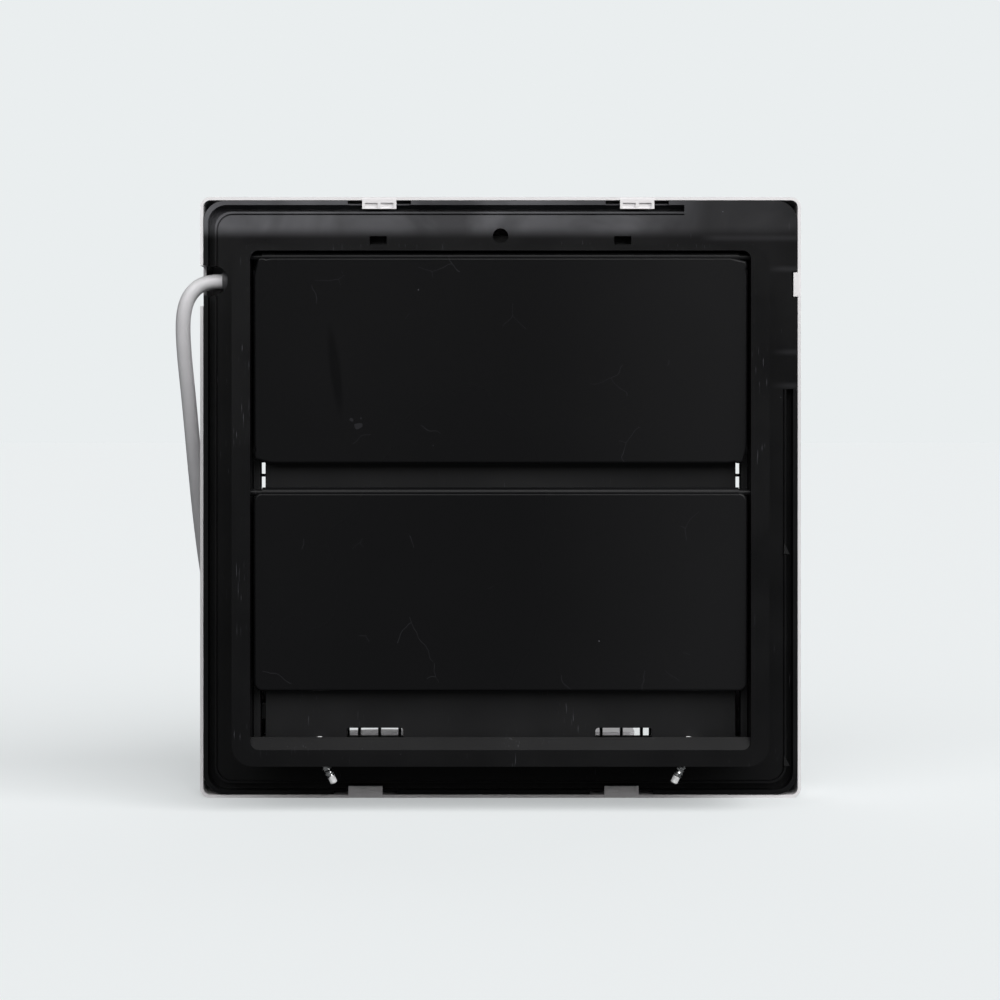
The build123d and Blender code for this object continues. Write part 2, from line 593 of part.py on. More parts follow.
# distance from the axis, width and pitch angle of the blade at its root, middle and tip
BLADE_STATIONS = (
    (HUB_R - 1.5, 36.0, 38.0),
    ((HUB_R + IMPELLER_D / 2) / 2 - 2.0, 54.0, 29.0),
    (IMPELLER_D / 2 + 4.0, 66.0, 23.0),
)
BOSS_OUT = 9.0
PIN_R = 1.25

with BuildPart() as impeller:
    # hub: a cup open towards the motor, with a boss for the shaft
    with BuildSketch(HALF_SECTION):
        with BuildLine():
            Polyline(
                (SHAFT_R, HUB_BACK),
                (HUB_R - 6.0, HUB_BACK),
                (HUB_R, HUB_BACK + 6.0),
                (HUB_R, HUB_FRONT),
                (HUB_R - HUB_WALL, HUB_FRONT),
                (HUB_R - HUB_WALL, HUB_BACK + 7.0),
                (HUB_R - 7.0, HUB_BACK + HUB_WALL),
                (BOSS_OUT, HUB_BACK + HUB_WALL),
                (BOSS_OUT, HUB_FRONT - 3.0),
                (SHAFT_R, HUB_FRONT - 3.0),
                close=True,
            )
        make_face()
    revolve(axis=AXIS)
    # blades: twisted and lofted from the hub to the tip circle
    for i in range(BLADES):
        turn = 360 / BLADES * i + 18
        out = Vector(cos(radians(turn)), 0, sin(radians(turn)))
        side = Vector(-sin(radians(turn)), 0, cos(radians(turn)))
        for station, chord, pitch in BLADE_STATIONS:
            along = side * cos(radians(pitch)) + Vector(0, sin(radians(pitch)), 0)
            centre = Vector(0, BLADE_MID, MID_Z) + out * station
            with BuildSketch(Plane(origin=centre, x_dir=along, z_dir=out)):
                Rectangle(chord, BLADE_T)
        loft()
    with BuildSketch(section(HUB_FRONT + 20)):
        Circle(IMPELLER_D)
        Circle(IMPELLER_D / 2, mode=Mode.SUBTRACT)
    extrude(amount=60, mode=Mode.SUBTRACT)
    # cross hole of the drive pin
    with Locations((0, HUB_FRONT - 7.0, MID_Z)):
        Cylinder(PIN_R, 2 * BOSS_OUT + 2, rotation=(0, 90, 0), mode=Mode.SUBTRACT)
save(impeller, "impeller")

with BuildPart() as drive_pin:
    with Locations((0, HUB_FRONT - 7.0, MID_Z)):
        Cylinder(PIN_R, 2 * BOSS_OUT - 1, rotation=(0, 90, 0))
        Cylinder(SHAFT_R, 4 * SHAFT_R, rotation=(90, 0, 0), mode=Mode.SUBTRACT)
save(drive_pin, "drive_pin")

NUT_R, NUT_L = 11.0, 7.0
with BuildPart() as cap_nut:
    # rounded plastic nut on the shaft's threaded end
    with BuildSketch(section(HUB_BACK)):
        Circle(NUT_R)
    extrude(amount=NUT_L)
    fillet(cap_nut.edges().filter_by(GeomType.CIRCLE).group_by(Axis.Y)[0], 3.0)
    with BuildSketch(section(HUB_BACK)):
        Circle(SHAFT_R)
    extrude(amount=HUB_BACK - SHAFT_BACK, mode=Mode.SUBTRACT)
save(cap_nut, "cap_nut")

# ---------------------------------------------------------------- front frame
# White moulding over the flange, held by two snap hooks at the top and two below.
FRAME_BACK = 0.5
FACE_T = 2.0
FRAME_R = 4.8
INTAKE = PANEL / 2 - 21.0    # half size of the intake opening
INTAKE_R = 6.0
RETURN_BACK = PANEL_DEPTH - 9.0
HOOK_Y = 0.1                 # outdoor face of the hooks' heads
POCKET = 0.9
FRAME_NOTCH_LOW, FRAME_NOTCH_HIGH, FRAME_NOTCH_Y = NOTCH_Z - 12.2, NOTCH_Z + 7.3, 15.0
KNOCKOUT_T = 8.0

with BuildPart() as front_frame:
    with BuildSketch(section(PANEL_DEPTH)):
        RectangleRounded(PANEL, PANEL, FRAME_R)
    extrude(amount=PANEL_DEPTH - FRAME_BACK)
    fillet(front_frame.faces().sort_by(Axis.Y)[-1].edges(), 3.5)
    with BuildSketch(section(PANEL_DEPTH - FACE_T)):
        RectangleRounded(2 * FRAME_IN, 2 * FRAME_IN, FRAME_R - WHITE_SKIN)
    extrude(amount=PANEL_DEPTH - FACE_T - FRAME_BACK, mode=Mode.SUBTRACT)
    # intake opening with a return wall round it
    with BuildSketch(section(PANEL_DEPTH - FACE_T)):
        half = INTAKE + WHITE_SKIN
        RectangleRounded(2 * half, 2 * half, INTAKE_R + WHITE_SKIN)
    extrude(amount=PANEL_DEPTH - FACE_T - RETURN_BACK)
    with BuildSketch(section(PANEL_DEPTH)):
        RectangleRounded(2 * INTAKE, 2 * INTAKE, INTAKE_R)
    extrude(amount=PANEL_DEPTH - RETURN_BACK, mode=Mode.SUBTRACT)
    # cord notch in the left wall
    with BuildSketch(section(FRAME_NOTCH_Y)):
        with Locations((-PANEL / 2, (FRAME_NOTCH_LOW + FRAME_NOTCH_HIGH) / 2)):
            Rectangle(4 * WHITE_SKIN, FRAME_NOTCH_HIGH - FRAME_NOTCH_LOW)
    extrude(amount=FRAME_NOTCH_Y, mode=Mode.SUBTRACT)
    # knock-out block opposite the cord notch
    with BuildSketch(section(KNOCKOUT_T)):
        with Locations((FRAME_IN + 0.5, KNOCKOUT_Z)):
            Rectangle(KNOCKOUT_W, KNOCKOUT_H, align=(Align.MAX, Align.CENTER))
    extrude(amount=KNOCKOUT_T - HOOK_Y)
    # snap hooks: a tongue through the flange's recess and a head over its lip
    tongue_in = FLANGE - HOOK_RECESS + HOOK_GAP
    for side, spots in ((1, TOP_HOOKS), (-1, BOTTOM_HOOKS)):
        with BuildSketch(section(FLANGE_T + 6.0)):
            for x in spots:
                with Locations((x, side * (FRAME_IN + 0.5 + tongue_in) / 2)):
                    Rectangle(HOOK_W, FRAME_IN + 0.5 - tongue_in)
        extrude(amount=FLANGE_T + 6.0 - HOOK_Y)
        with BuildSketch(section(HOOK_SEAT - HOOK_GAP)):
            for x in spots:
                with Locations((x, side * (FRAME_IN - HOOK_HEAD / 2))):
                    Rectangle(HOOK_W, HOOK_HEAD)
        extrude(amount=HOOK_SEAT - HOOK_GAP - HOOK_Y)
        # two pockets leave three ribs across each head
        with BuildSketch(section(HOOK_Y + POCKET)):
            for x in spots:
                with Locations((x, side * (FRAME_IN - HOOK_HEAD / 2 - 0.5))):
                    with GridLocations(HOOK_W / 2 - 0.6, 1, 2, 1):
                        Rectangle(HOOK_W / 2 - 2.2, HOOK_HEAD - 1.6)
        extrude(amount=POCKET, mode=Mode.SUBTRACT)
save(front_frame, "front_frame")

# ---------------------------------------------------------------- intake grille
# White moulded ring of fins in the intake gap, with a socket at each corner that the
# front cover's posts plug into.
GRILLE_IN = INTAKE - 17.0
GRILLE_FRONT, GRILLE_BACK = PANEL_DEPTH - 4.0, RETURN_BACK
GRILLE_LIP = 1.5
FIN_T, FIN_PITCH = 1.4, 10.0
CORNER_IN = INTAKE - 28.0
POST_AT = INTAKE - 20.0
POST_R = 3.0
SOCKET_R = 6.5
SOCKET_BACK = PANEL_DEPTH - 17.0

with BuildPart() as intake_grille:
    outer = INTAKE - SNUG
    with BuildSketch(section(GRILLE_FRONT)):
        RectangleRounded(2 * outer, 2 * outer, INTAKE_R - SNUG)
        half = outer - WHITE_SKIN
        RectangleRounded(2 * half, 2 * half, INTAKE_R - WHITE_SKIN, mode=Mode.SUBTRACT)
        half = GRILLE_IN + WHITE_SKIN
        with BuildSketch(mode=Mode.PRIVATE) as inner_rim:
            Rectangle(2 * half, 2 * half)
            Rectangle(2 * GRILLE_IN, 2 * GRILLE_IN, mode=Mode.SUBTRACT)
        add(inner_rim.sketch)
        fins = int(2 * (CORNER_IN - FIN_PITCH / 2) / FIN_PITCH) + 1
        reach = (GRILLE_IN + outer) / 2
        for side in (-1, 1):
            with Locations((0, side * reach)):
                with GridLocations(FIN_PITCH, 1, fins, 1):
                    Rectangle(FIN_T, outer - GRILLE_IN - WHITE_SKIN)
            with Locations((side * reach, 0)):
                with GridLocations(1, FIN_PITCH, 1, fins):
                    Rectangle(outer - GRILLE_IN - WHITE_SKIN, FIN_T)
    extrude(amount=GRILLE_FRONT - GRILLE_BACK)
    # lip behind the frame's return wall
    with BuildSketch(section(GRILLE_BACK)):
        half = INTAKE + GRILLE_LIP
        RectangleRounded(2 * half, 2 * half, INTAKE_R + GRILLE_LIP)
        half = outer - WHITE_SKIN
        RectangleRounded(2 * half, 2 * half, INTAKE_R - WHITE_SKIN, mode=Mode.SUBTRACT)
    extrude(amount=GRILLE_LIP)
    # corner plates and sockets
    corner = (CORNER_IN + outer - SNUG) / 2
    width = outer - SNUG - CORNER_IN
    with BuildSketch(section(GRILLE_FRONT)):
        with GridLocations(2 * corner, 2 * corner, 2, 2):
            RectangleRounded(width, width, INTAKE_R - 1)
        with GridLocations(2 * POST_AT, 2 * POST_AT, 2, 2):
            Circle(POST_R, mode=Mode.SUBTRACT)
    extrude(amount=WHITE_SKIN)
    with BuildSketch(section(GRILLE_FRONT)):
        with GridLocations(2 * POST_AT, 2 * POST_AT, 2, 2):
            Circle(SOCKET_R)
    extrude(amount=GRILLE_FRONT - SOCKET_BACK)
    with BuildSketch(section(GRILLE_FRONT)):
        with GridLocations(2 * POST_AT, 2 * POST_AT, 2, 2):
            Circle(POST_R + RUN_GAP)
    extrude(amount=GRILLE_FRONT - SOCKET_BACK, mode=Mode.SUBTRACT)
save(intake_grille, "intake_grille")

# ---------------------------------------------------------------- front cover
# White square cover that stands clear of the frame and pulls off towards the room.
COVER = INTAKE - 11.0        # half size of the cover
COVER_BACK = PANEL_DEPTH + 2.0
COVER_R = 10.0
COVER_T = 2.0
RIB_PITCH, RIB_H = 60.0, 2.5

with BuildPart() as front_cover:
    with BuildSketch(section(COVER_Y)):
        RectangleRounded(2 * COVER, 2 * COVER, COVER_R)
    extrude(amount=COVER_Y - COVER_BACK)
    fillet(front_cover.faces().sort_by(Axis.Y)[-1].edges(), 3.0)
    with BuildSketch(section(COVER_Y - COVER_T)):
        half = COVER - COVER_T
        RectangleRounded(2 * half, 2 * half, COVER_R - COVER_T)
    extrude(amount=COVER_Y - COVER_T - COVER_BACK, mode=Mode.SUBTRACT)
    # stiffening ribs inside
    with BuildSketch(section(COVER_Y - COVER_T)):
        with GridLocations(RIB_PITCH, 1, 3, 1):
            Rectangle(WHITE_SKIN, 2 * COVER - COVER_T)
        with GridLocations(1, RIB_PITCH, 1, 3):
            Rectangle(2 * COVER - COVER_T, WHITE_SKIN)
    extrude(amount=RIB_H)
    # posts
    with BuildSketch(section(COVER_Y - COVER_T)):
        with GridLocations(2 * POST_AT, 2 * POST_AT, 2, 2):
            Circle(POST_R)
    extrude(amount=COVER_Y - COVER_T - SOCKET_BACK - 2.0)
    chamfer(front_cover.edges().filter_by(GeomType.CIRCLE).group_by(Axis.Y)[0], 0.8)
save(front_cover, "front_cover")

# ---------------------------------------------------------------- fixing screws
# Each has a pan head in the duct, a thread through the wall and a smooth dog point.
DOG_R = 1.7
DOG_L = 3.5
FIX_HEAD_R, FIX_HEAD_T = 4.2, 2.6

with BuildPart() as fixing_screws:
    for x in FIX_XS:
        lean = FIX_LEAN if x < 0 else -FIX_LEAN
        down = Vector(sin(radians(lean)), 0, -cos(radians(lean)))
        floor = Vector(x, FIX_Y, MID_Z + DUCT_FLOOR)
        seat = floor - down * (FIX_HEAD_R * sin(radians(FIX_LEAN)) + 0.2)
        shank = (COLLAR_BOTTOM + FIX_OUT) / cos(radians(FIX_LEAN)) - DOG_L
        with BuildSketch(Plane(origin=seat, z_dir=-down)):
            Circle(FIX_HEAD_R)
        extrude(amount=FIX_HEAD_T)
        with BuildSketch(Plane(origin=seat, z_dir=down)):
            Circle(FIX_R)
        extrude(amount=shank)
        with BuildSketch(Plane(origin=seat + down * shank, z_dir=down)):
            Circle(DOG_R)
        extrude(amount=DOG_L, taper=3)
save(fixing_screws, "fixing_screws")

# ---------------------------------------------------------------- wiring box
# Black box in the top left corner: the cord enters at the side and is clamped, and its
# cores meet the motor's leads in a three pole terminal block.
BOX_BACK = PLATE_T
BOX_FRONT = 26.0
BOX_T = 1.8
LID_T = 2.0
CORD_R = CORD_D / 2
CORD_Y = 8.5
CORD_Z = NOTCH_Z
CORD_EXIT_X = BOX_X - 2.5
GROMMET_R = 5.2
BOX_MID = (BOX_X + BOX_W / 2, BOX_Z + BOX_H / 2)
LEAD_R = 2.2
LEAD_IN = (16.0, BOX_Z + 12.0)       # depth and height where the motor's leads enter
LID_SCREW = (BOX_X + BOX_W - 5.5, BOX_Z + BOX_H - 5.5)

with BuildPart() as wiring_box:
    with BuildSketch(section(BOX_FRONT)):
        with Locations(BOX_MID):
            RectangleRounded(BOX_W, BOX_H, 3)
    extrude(amount=BOX_FRONT - BOX_BACK)
    with BuildSketch(section(BOX_FRONT)):
        with Locations(BOX_MID):
            RectangleRounded(BOX_W - 2 * BOX_T, BOX_H - 2 * BOX_T, 2)
    extrude(amount=BOX_FRONT - BOX_BACK - BOX_T, mode=Mode.SUBTRACT)
    with BuildSketch(section(BOX_FRONT)):
        with Locations(LID_SCREW):
            Circle(4.0)
            Circle(SCREW_R, mode=Mode.SUBTRACT)
    extrude(amount=BOX_FRONT - BOX_BACK - BOX_T)
    with Locations((BOX_X, CORD_Y, MID_Z + CORD_Z)):
        Cylinder(GROMMET_R, 3 * BOX_T, rotation=(0, 90, 0), mode=Mode.SUBTRACT)
    with Locations((BOX_X + BOX_W, LEAD_IN[0], MID_Z + LEAD_IN[1])):
        Cylinder(LEAD_R, 3 * BOX_T, rotation=(0, 90, 0), mode=Mode.SUBTRACT)
save(wiring_box, "wiring_box")

with BuildPart() as wiring_box_lid:
    with BuildSketch(section(BOX_FRONT + LID_T)):
        with Locations(BOX_MID):
            RectangleRounded(BOX_W, BOX_H, 3)
        with Locations(LID_SCREW):
            Circle(SCREW_R + 0.2, mode=Mode.SUBTRACT)
    extrude(amount=LID_T)
    fillet(wiring_box_lid.faces().sort_by(Axis.Y)[-1].outer_wire().edges(), 0.8)
save(wiring_box_lid, "wiring_box_lid")
pan_screw((LID_SCREW,), BOX_FRONT + LID_T, 12.0, SCREW_R, 3.0, 1.8, "lid_screw")

with BuildPart() as cord_grommet:
    # rubber sleeve in the box's side wall, flanged on both faces
    with BuildSketch(Plane(origin=(CORD_EXIT_X, CORD_Y, MID_Z + CORD_Z), z_dir=(1, 0, 0))):
        Circle(GROMMET_R + 1.0)
        Circle(CORD_R, mode=Mode.SUBTRACT)
    extrude(amount=BOX_X - CORD_EXIT_X)
    with BuildSketch(Plane(origin=(BOX_X, CORD_Y, MID_Z + CORD_Z), z_dir=(1, 0, 0))):
        Circle(GROMMET_R)
        Circle(CORD_R, mode=Mode.SUBTRACT)
    extrude(amount=BOX_T)
save(cord_grommet, "cord_grommet")

CLAMP_X = BOX_X + 13.0
with BuildPart() as inner_cord:
    with BuildSketch(Plane(origin=(CORD_EXIT_X, CORD_Y, MID_Z + CORD_Z), z_dir=(1, 0, 0))):
        Circle(CORD_R)
    extrude(amount=CLAMP_X + 6.0 - CORD_EXIT_X)
save(inner_cord, "inner_cord")

CLAMP_W, CLAMP_H = 8.0, 22.0
CLAMP_TOP = CORD_Y + CORD_R + 2.0
CLAMP_SCREWS = ((CLAMP_X, CORD_Z + 8.0), (CLAMP_X, CORD_Z - 8.0))
with BuildPart() as cord_clamp:
    # saddle over the cord
    side_view = Plane(origin=(CLAMP_X - CLAMP_W / 2, 0, MID_Z + CORD_Z), x_dir=(0, 1, 0), z_dir=(1, 0, 0))
    with BuildSketch(side_view):
        with Locations((BOX_BACK + BOX_T, 0)):
            Rectangle(CLAMP_TOP - BOX_BACK - BOX_T, CLAMP_H, align=(Align.MIN, Align.CENTER))
        with Locations((CORD_Y, 0)):
            Circle(CORD_R, mode=Mode.SUBTRACT)
            Rectangle(CLAMP_H, 2 * CORD_R, align=(Align.MAX, Align.CENTER), mode=Mode.SUBTRACT)
    extrude(amount=CLAMP_W)
    with BuildSketch(section(CLAMP_TOP)):
        with Locations(*CLAMP_SCREWS):
            Circle(SCREW_R)
    extrude(amount=CLAMP_TOP, mode=Mode.SUBTRACT)
save(cord_clamp, "cord_clamp")
pan_screw(CLAMP_SCREWS, CLAMP_TOP, 8.0, SCREW_R, SMALL_HEAD_R, SMALL_HEAD_T, "clamp_screws")

BLOCK_X = BOX_X + 33.0
BLOCK_W, BLOCK_H, BLOCK_T = 14.0, 26.0, 11.0
POLES = 3
POLE_PITCH = 8.0
BLOCK_MID = (BLOCK_X, CORD_Z - 1.0)
with BuildPart() as terminal_block:
    with BuildSketch(section(BOX_BACK + BOX_T + BLOCK_T)):
        with Locations(BLOCK_MID):
            Rectangle(BLOCK_W, BLOCK_H)
            with GridLocations(BLOCK_W / 2, POLE_PITCH, 2, POLES):
                Circle(1.9, mode=Mode.SUBTRACT)
    extrude(amount=BLOCK_T)
    with BuildSketch(section(BOX_BACK + BOX_T + BLOCK_T)):
        with Locations(BLOCK_MID):
            with GridLocations(1, POLE_PITCH, 1, POLES - 1):
                Rectangle(BLOCK_W, 1.4)
    extrude(amount=3.0, mode=Mode.SUBTRACT)
save(terminal_block, "terminal_block")

with BuildPart() as terminal_screws:
    with BuildSketch(section(BOX_BACK + BOX_T + BLOCK_T - 2.0)):
        with Locations(BLOCK_MID):
            with GridLocations(BLOCK_W / 2, POLE_PITCH, 2, POLES):
                Circle(1.8)
    extrude(amount=6.0)
save(terminal_screws, "terminal_screws")


def tube(route, radius, name, radii=None):
    """Round flexible piece along straight runs joined by tangent arcs."""
    if radii is None:
        radii = []
        for before, at, after in zip(route, route[1:], route[2:]):
            into = Vector(at) - Vector(before)
            away = Vector(after) - Vector(at)
            turn = radians(into.get_angle(away))
            sine = sin(turn / 2)
            tangent = sine / (1 - sine * sine) ** 0.5
            radii.append(0.45 * min(into.length, away.length) / tangent)
    with BuildPart() as piece:
        with BuildLine() as path:
            FilletPolyline(*route, radius=radii)
        start = Plane(origin=path.line @ 0, z_dir=path.line % 0)
        with BuildSketch(start):
            Circle(radius)
        sweep(path=path.line)
    length = path.wires()[0].length
    ratio = piece.part.volume / (pi * radius * radius * length)
    print(name, "length", round(length, 1), "volume ratio", round(ratio, 4))
    print("   radii", [round(r, 1) for r in radii])
    save(piece, name)


CORE_ROUTES = [
    [
        (CLAMP_X + 6.0, CORD_Y + dy, MID_Z + CORD_Z + dz),
        (CLAMP_X + 10.0, CORD_Y + dy, MID_Z + CORD_Z + dz),
        (BLOCK_X - BLOCK_W / 2 - 3.0, BOX_BACK + BOX_T + 4.0, MID_Z + BLOCK_MID[1] + i * POLE_PITCH),
        (BLOCK_X - BLOCK_W / 2, BOX_BACK + BOX_T + 4.0, MID_Z + BLOCK_MID[1] + i * POLE_PITCH),
    ]
    for i, dy, dz in ((-1, 1.2, -1.8), (0, -1.6, 0.3), (1, 1.2, 1.8))
]
with BuildPart() as cord_cores:
    for route in CORE_ROUTES:
        with BuildLine() as core_path:
            FilletPolyline(*route, radius=1.5)
        with BuildSketch(Plane(origin=core_path.line @ 0, z_dir=core_path.line % 0)):
            Circle(1.1)
        sweep(path=core_path.line)
save(cord_cores, "cord_cores")

LEAD_START = 112.0           # angle round the motor where the leads leave its shell
lead_x = (MOTOR_R + 0.2) * cos(radians(LEAD_START))
lead_z = (MOTOR_R + 0.2) * sin(radians(LEAD_START))
tube(
    [
        (lead_x, 28.5, MID_Z + lead_z),
        (1.35 * lead_x, 28.5, MID_Z + 1.35 * lead_z),
        (-36.0, 25.0, MID_Z + 78.0),
        (-60.0, 19.0, MID_Z + 93.0),
        (BOX_X + BOX_W + 10.0, LEAD_IN[0], MID_Z + LEAD_IN[1]),
        (BOX_X + BOX_W - BOX_T, LEAD_IN[0], MID_Z + LEAD_IN[1]),
    ],
    LEAD_R,
    "motor_leads",
)

# Run capacitor: a resin filled case on the orifice plate, with its own lead.
CAP_X, CAP_Z = 76.0, ORIFICE_HALF - 15.0
CAP_W, CAP_H, CAP_T = 34.0, 16.0, 20.0
CAP_EAR = 6.0                # the fixing ear's hole beyond the case
CAP_LEAD_Y = 24.0
with BuildPart() as run_capacitor:
    with BuildSketch(section(FOOT_FACE + CAP_T)):
        with Locations((CAP_X, CAP_Z)):
            RectangleRounded(CAP_W, CAP_H, 2)
    extrude(amount=CAP_T)
    fillet(run_capacitor.faces().sort_by(Axis.Y)[-1].edges(), 1.0)
    with BuildSketch(section(FOOT_FACE + 1.5)):
        with Locations((CAP_X - CAP_W / 2, CAP_Z)):
            SlotOverall(22.0, 9.0)
        with Locations((CAP_X - CAP_W / 2 - CAP_EAR, CAP_Z)):
            Circle(SCREW_R, mode=Mode.SUBTRACT)
    extrude(amount=1.5)
save(run_capacitor, "run_capacitor")
CAP_SCREW = (CAP_X - CAP_W / 2 - CAP_EAR, CAP_Z)
pan_screw((CAP_SCREW,), FOOT_FACE + 1.5, 1.5, SCREW_R, SMALL_HEAD_R, SMALL_HEAD_T, "capacitor_screw")
tube(
    [
        (CAP_X - CAP_W / 2, CAP_LEAD_Y, MID_Z + CAP_Z + 3.0),
        (CAP_X - CAP_W / 2 - 14.0, CAP_LEAD_Y, MID_Z + CAP_Z + 3.0),
        (22.0, 19.0, MID_Z + CAP_Z + 4.2),
        (-8.0, 17.0, MID_Z + CAP_Z + 5.7),
        (-40.0, 18.0, MID_Z + CAP_Z + 4.7),
        (BOX_X + BOX_W + 14.0, 20.0, MID_Z + BOX_Z + 29.0),
        (BOX_X + BOX_W, 20.0, MID_Z + BOX_Z + 29.0),
    ],
    1.5,
    "capacitor_lead",
)

# ---------------------------------------------------------------- power cord
# Round flexible cord: out of the grommet, through the notch, down beside the frame and
# round behind the fan to a neat coil on the floor that ends in a moulded plug.
COIL_X, COIL_Y = -62.0, 122.0
TURN_RADII = (39.6, 46.8)
COIL_LAYERS = 2
CORD_ROUTE = [
    (CORD_EXIT_X, CORD_Y, MID_Z + CORD_Z),
    (-143.5, CORD_Y, MID_Z + CORD_Z),
    (-151.0, 7.8, 243.6),
    (-154.3, 8.0, 233.6),
    (-154.2, 10.5, 217.0),
    (-152.2, 18.0, 190.0),
    (-151.2, 33.0, 159.0),
    (-150.6, 55.0, 127.0),
    (-149.0, 79.0, 95.0),
    (-145.0, 103.0, 63.0),
    (-138.0, 126.0, 34.0),
    (-127.0, 145.0, 12.5),
    (-110.0, 162.0, 3.6),
    (-89.0, 168.2, 3.6),
    (-74.0, 168.8, 3.6),
]
tube(CORD_ROUTE, CORD_R, "power_cord")

with BuildPart() as cord_coil:
    with BuildSketch(Plane(origin=(COIL_X, COIL_Y, 0), x_dir=(1, 0, 0), z_dir=(0, -1, 0))):
        with Locations(((TURN_RADII[0] + TURN_RADII[1]) / 2, COIL_LAYERS * CORD_D / 2)):
            RectangleRounded(TURN_RADII[1] - TURN_RADII[0] + CORD_D, COIL_LAYERS * CORD_D, 3.0)
    revolve(axis=Axis((COIL_X, COIL_Y, 0), (0, 0, 1)))
save(cord_coil, "cord_coil")

PLUG_X, PLUG_Y = 12.0, 160.0
PLUG_W, PLUG_T = 34.0, 15.0
BOOT_L = 26.0
PLUG_L = 34.0
PLUG_Z = PLUG_T / 2
tube(
    [
        (-52.0, 161.6, 10.8),
        (-34.0, 161.8, 10.8),
        (-16.0, 161.0, 9.2),
        (-2.0, PLUG_Y, PLUG_Z),
        (PLUG_X, PLUG_Y, PLUG_Z),
    ],
    CORD_R,
    "plug_lead",
)

with BuildPart() as plug_body:
    # ribbed boot and flat moulded grip
    with BuildSketch(Plane(origin=(PLUG_X, PLUG_Y, PLUG_Z), z_dir=(1, 0, 0))):
        Circle(CORD_R + 1.0)
    with BuildSketch(Plane(origin=(PLUG_X + BOOT_L, PLUG_Y, PLUG_Z), z_dir=(1, 0, 0))):
        Circle(CORD_R + 2.6)
    loft()
    with BuildSketch(Plane.XY):
        with BuildLine():
            Polyline(
                (PLUG_X + BOOT_L - 4, PLUG_Y - 8),
                (PLUG_X + BOOT_L + 10, PLUG_Y - PLUG_W / 2),
                (PLUG_X + BOOT_L + PLUG_L, PLUG_Y - PLUG_W / 2),
                (PLUG_X + BOOT_L + PLUG_L, PLUG_Y + PLUG_W / 2),
                (PLUG_X + BOOT_L + 10, PLUG_Y + PLUG_W / 2),
                (PLUG_X + BOOT_L - 4, PLUG_Y + 8),
                close=True,
            )
        make_face()
    grip = extrude(amount=PLUG_T)
    fillet(grip.edges().filter_by(Axis.Z), 3.0)
save(plug_body, "plug_body")

PIN_GAP, PLUG_PIN_R, PLUG_PIN_L = 19.0, 2.4, 19.0
with BuildPart() as plug_pins:
    grip_end = (PLUG_X + BOOT_L + PLUG_L, PLUG_Y, PLUG_Z)
    with BuildSketch(Plane(origin=grip_end, x_dir=(0, 1, 0), z_dir=(1, 0, 0))):
        with GridLocations(PIN_GAP, 1, 2, 1):
            Circle(PLUG_PIN_R)
    extrude(amount=PLUG_PIN_L)
    fillet(plug_pins.edges().group_by(Axis.X)[-1], 1.2)
save(plug_pins, "plug_pins")
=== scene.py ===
"""Looks of the square bathroom extractor fan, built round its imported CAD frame."""

import math

import bmesh
import bpy
from mathutils import Matrix, Vector


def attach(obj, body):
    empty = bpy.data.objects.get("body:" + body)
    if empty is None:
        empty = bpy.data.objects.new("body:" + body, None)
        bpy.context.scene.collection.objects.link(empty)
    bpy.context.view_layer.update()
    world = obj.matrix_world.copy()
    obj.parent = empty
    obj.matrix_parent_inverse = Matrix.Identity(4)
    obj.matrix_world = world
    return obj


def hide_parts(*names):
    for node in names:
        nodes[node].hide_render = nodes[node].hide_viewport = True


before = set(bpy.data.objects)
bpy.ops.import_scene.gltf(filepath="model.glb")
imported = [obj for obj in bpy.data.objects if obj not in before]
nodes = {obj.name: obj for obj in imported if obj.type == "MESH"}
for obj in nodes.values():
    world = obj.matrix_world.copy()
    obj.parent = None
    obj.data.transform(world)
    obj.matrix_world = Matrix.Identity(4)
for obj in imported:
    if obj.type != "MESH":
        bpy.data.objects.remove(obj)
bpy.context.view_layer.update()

# ---------------------------------------------------------------- camera
# A level view of the outdoor side from a little above the fan's middle, on a long lens
# whose frame is shifted down, so that the uprights stay parallel.
EYE = (-0.00024, -1.280, 0.1824)
LENS_MM = 95.5
SHIFT_DOWN = -0.08
SENSOR_MM = 36

view_data = bpy.data.cameras.new("view")
view_data.lens = LENS_MM
view_data.sensor_width = SENSOR_MM
view_data.shift_y = SHIFT_DOWN
view_camera = bpy.data.objects.new("view", view_data)
view_camera.location = EYE
view_camera.rotation_euler = (math.radians(90), 0, 0)
bpy.context.collection.objects.link(view_camera)
bpy.context.scene.camera = view_camera
bpy.context.scene.view_settings.view_transform = "Standard"


# ---------------------------------------------------------------- studio
# Pale paper that runs from under the fan out of sight, before a backdrop of the same pale tone, in a
# dark room.
# A broad soft key stands high on the right, a weaker fill on the left and another behind,
# all so large and far that the paper is evenly lit.
def hex_colour(code):
    """Linear RGBA of an sRGB hex colour."""
    parts = [int(code[i:i + 2], 16) / 255 for i in (1, 3, 5)]
    linear = [c / 12.92 if c <= 0.04045 else ((c + 0.055) / 1.055) ** 2.4 for c in parts]
    return (*linear, 1.0)


def add_node(tree, kind, sockets=None, **settings):
    """Adds a node; sockets maps an input's name or number to a value or an output."""
    node = tree.nodes.new(kind)
    for name, value in settings.items():
        setattr(node, name, value)
    for key, value in (sockets or {}).items():
        if isinstance(value, bpy.types.NodeSocket):
            tree.links.new(value, node.inputs[key])
        else:
            node.inputs[key].default_value = value
    return node


def new_material(name):
    """An empty node material, its tree and the Object coordinates that its patterns use."""
    material = bpy.data.materials.new(name)
    material.use_nodes = True
    tree = material.node_tree
    tree.nodes.clear()
    place = add_node(tree, "ShaderNodeTexCoord").outputs["Object"]
    return material, tree, place


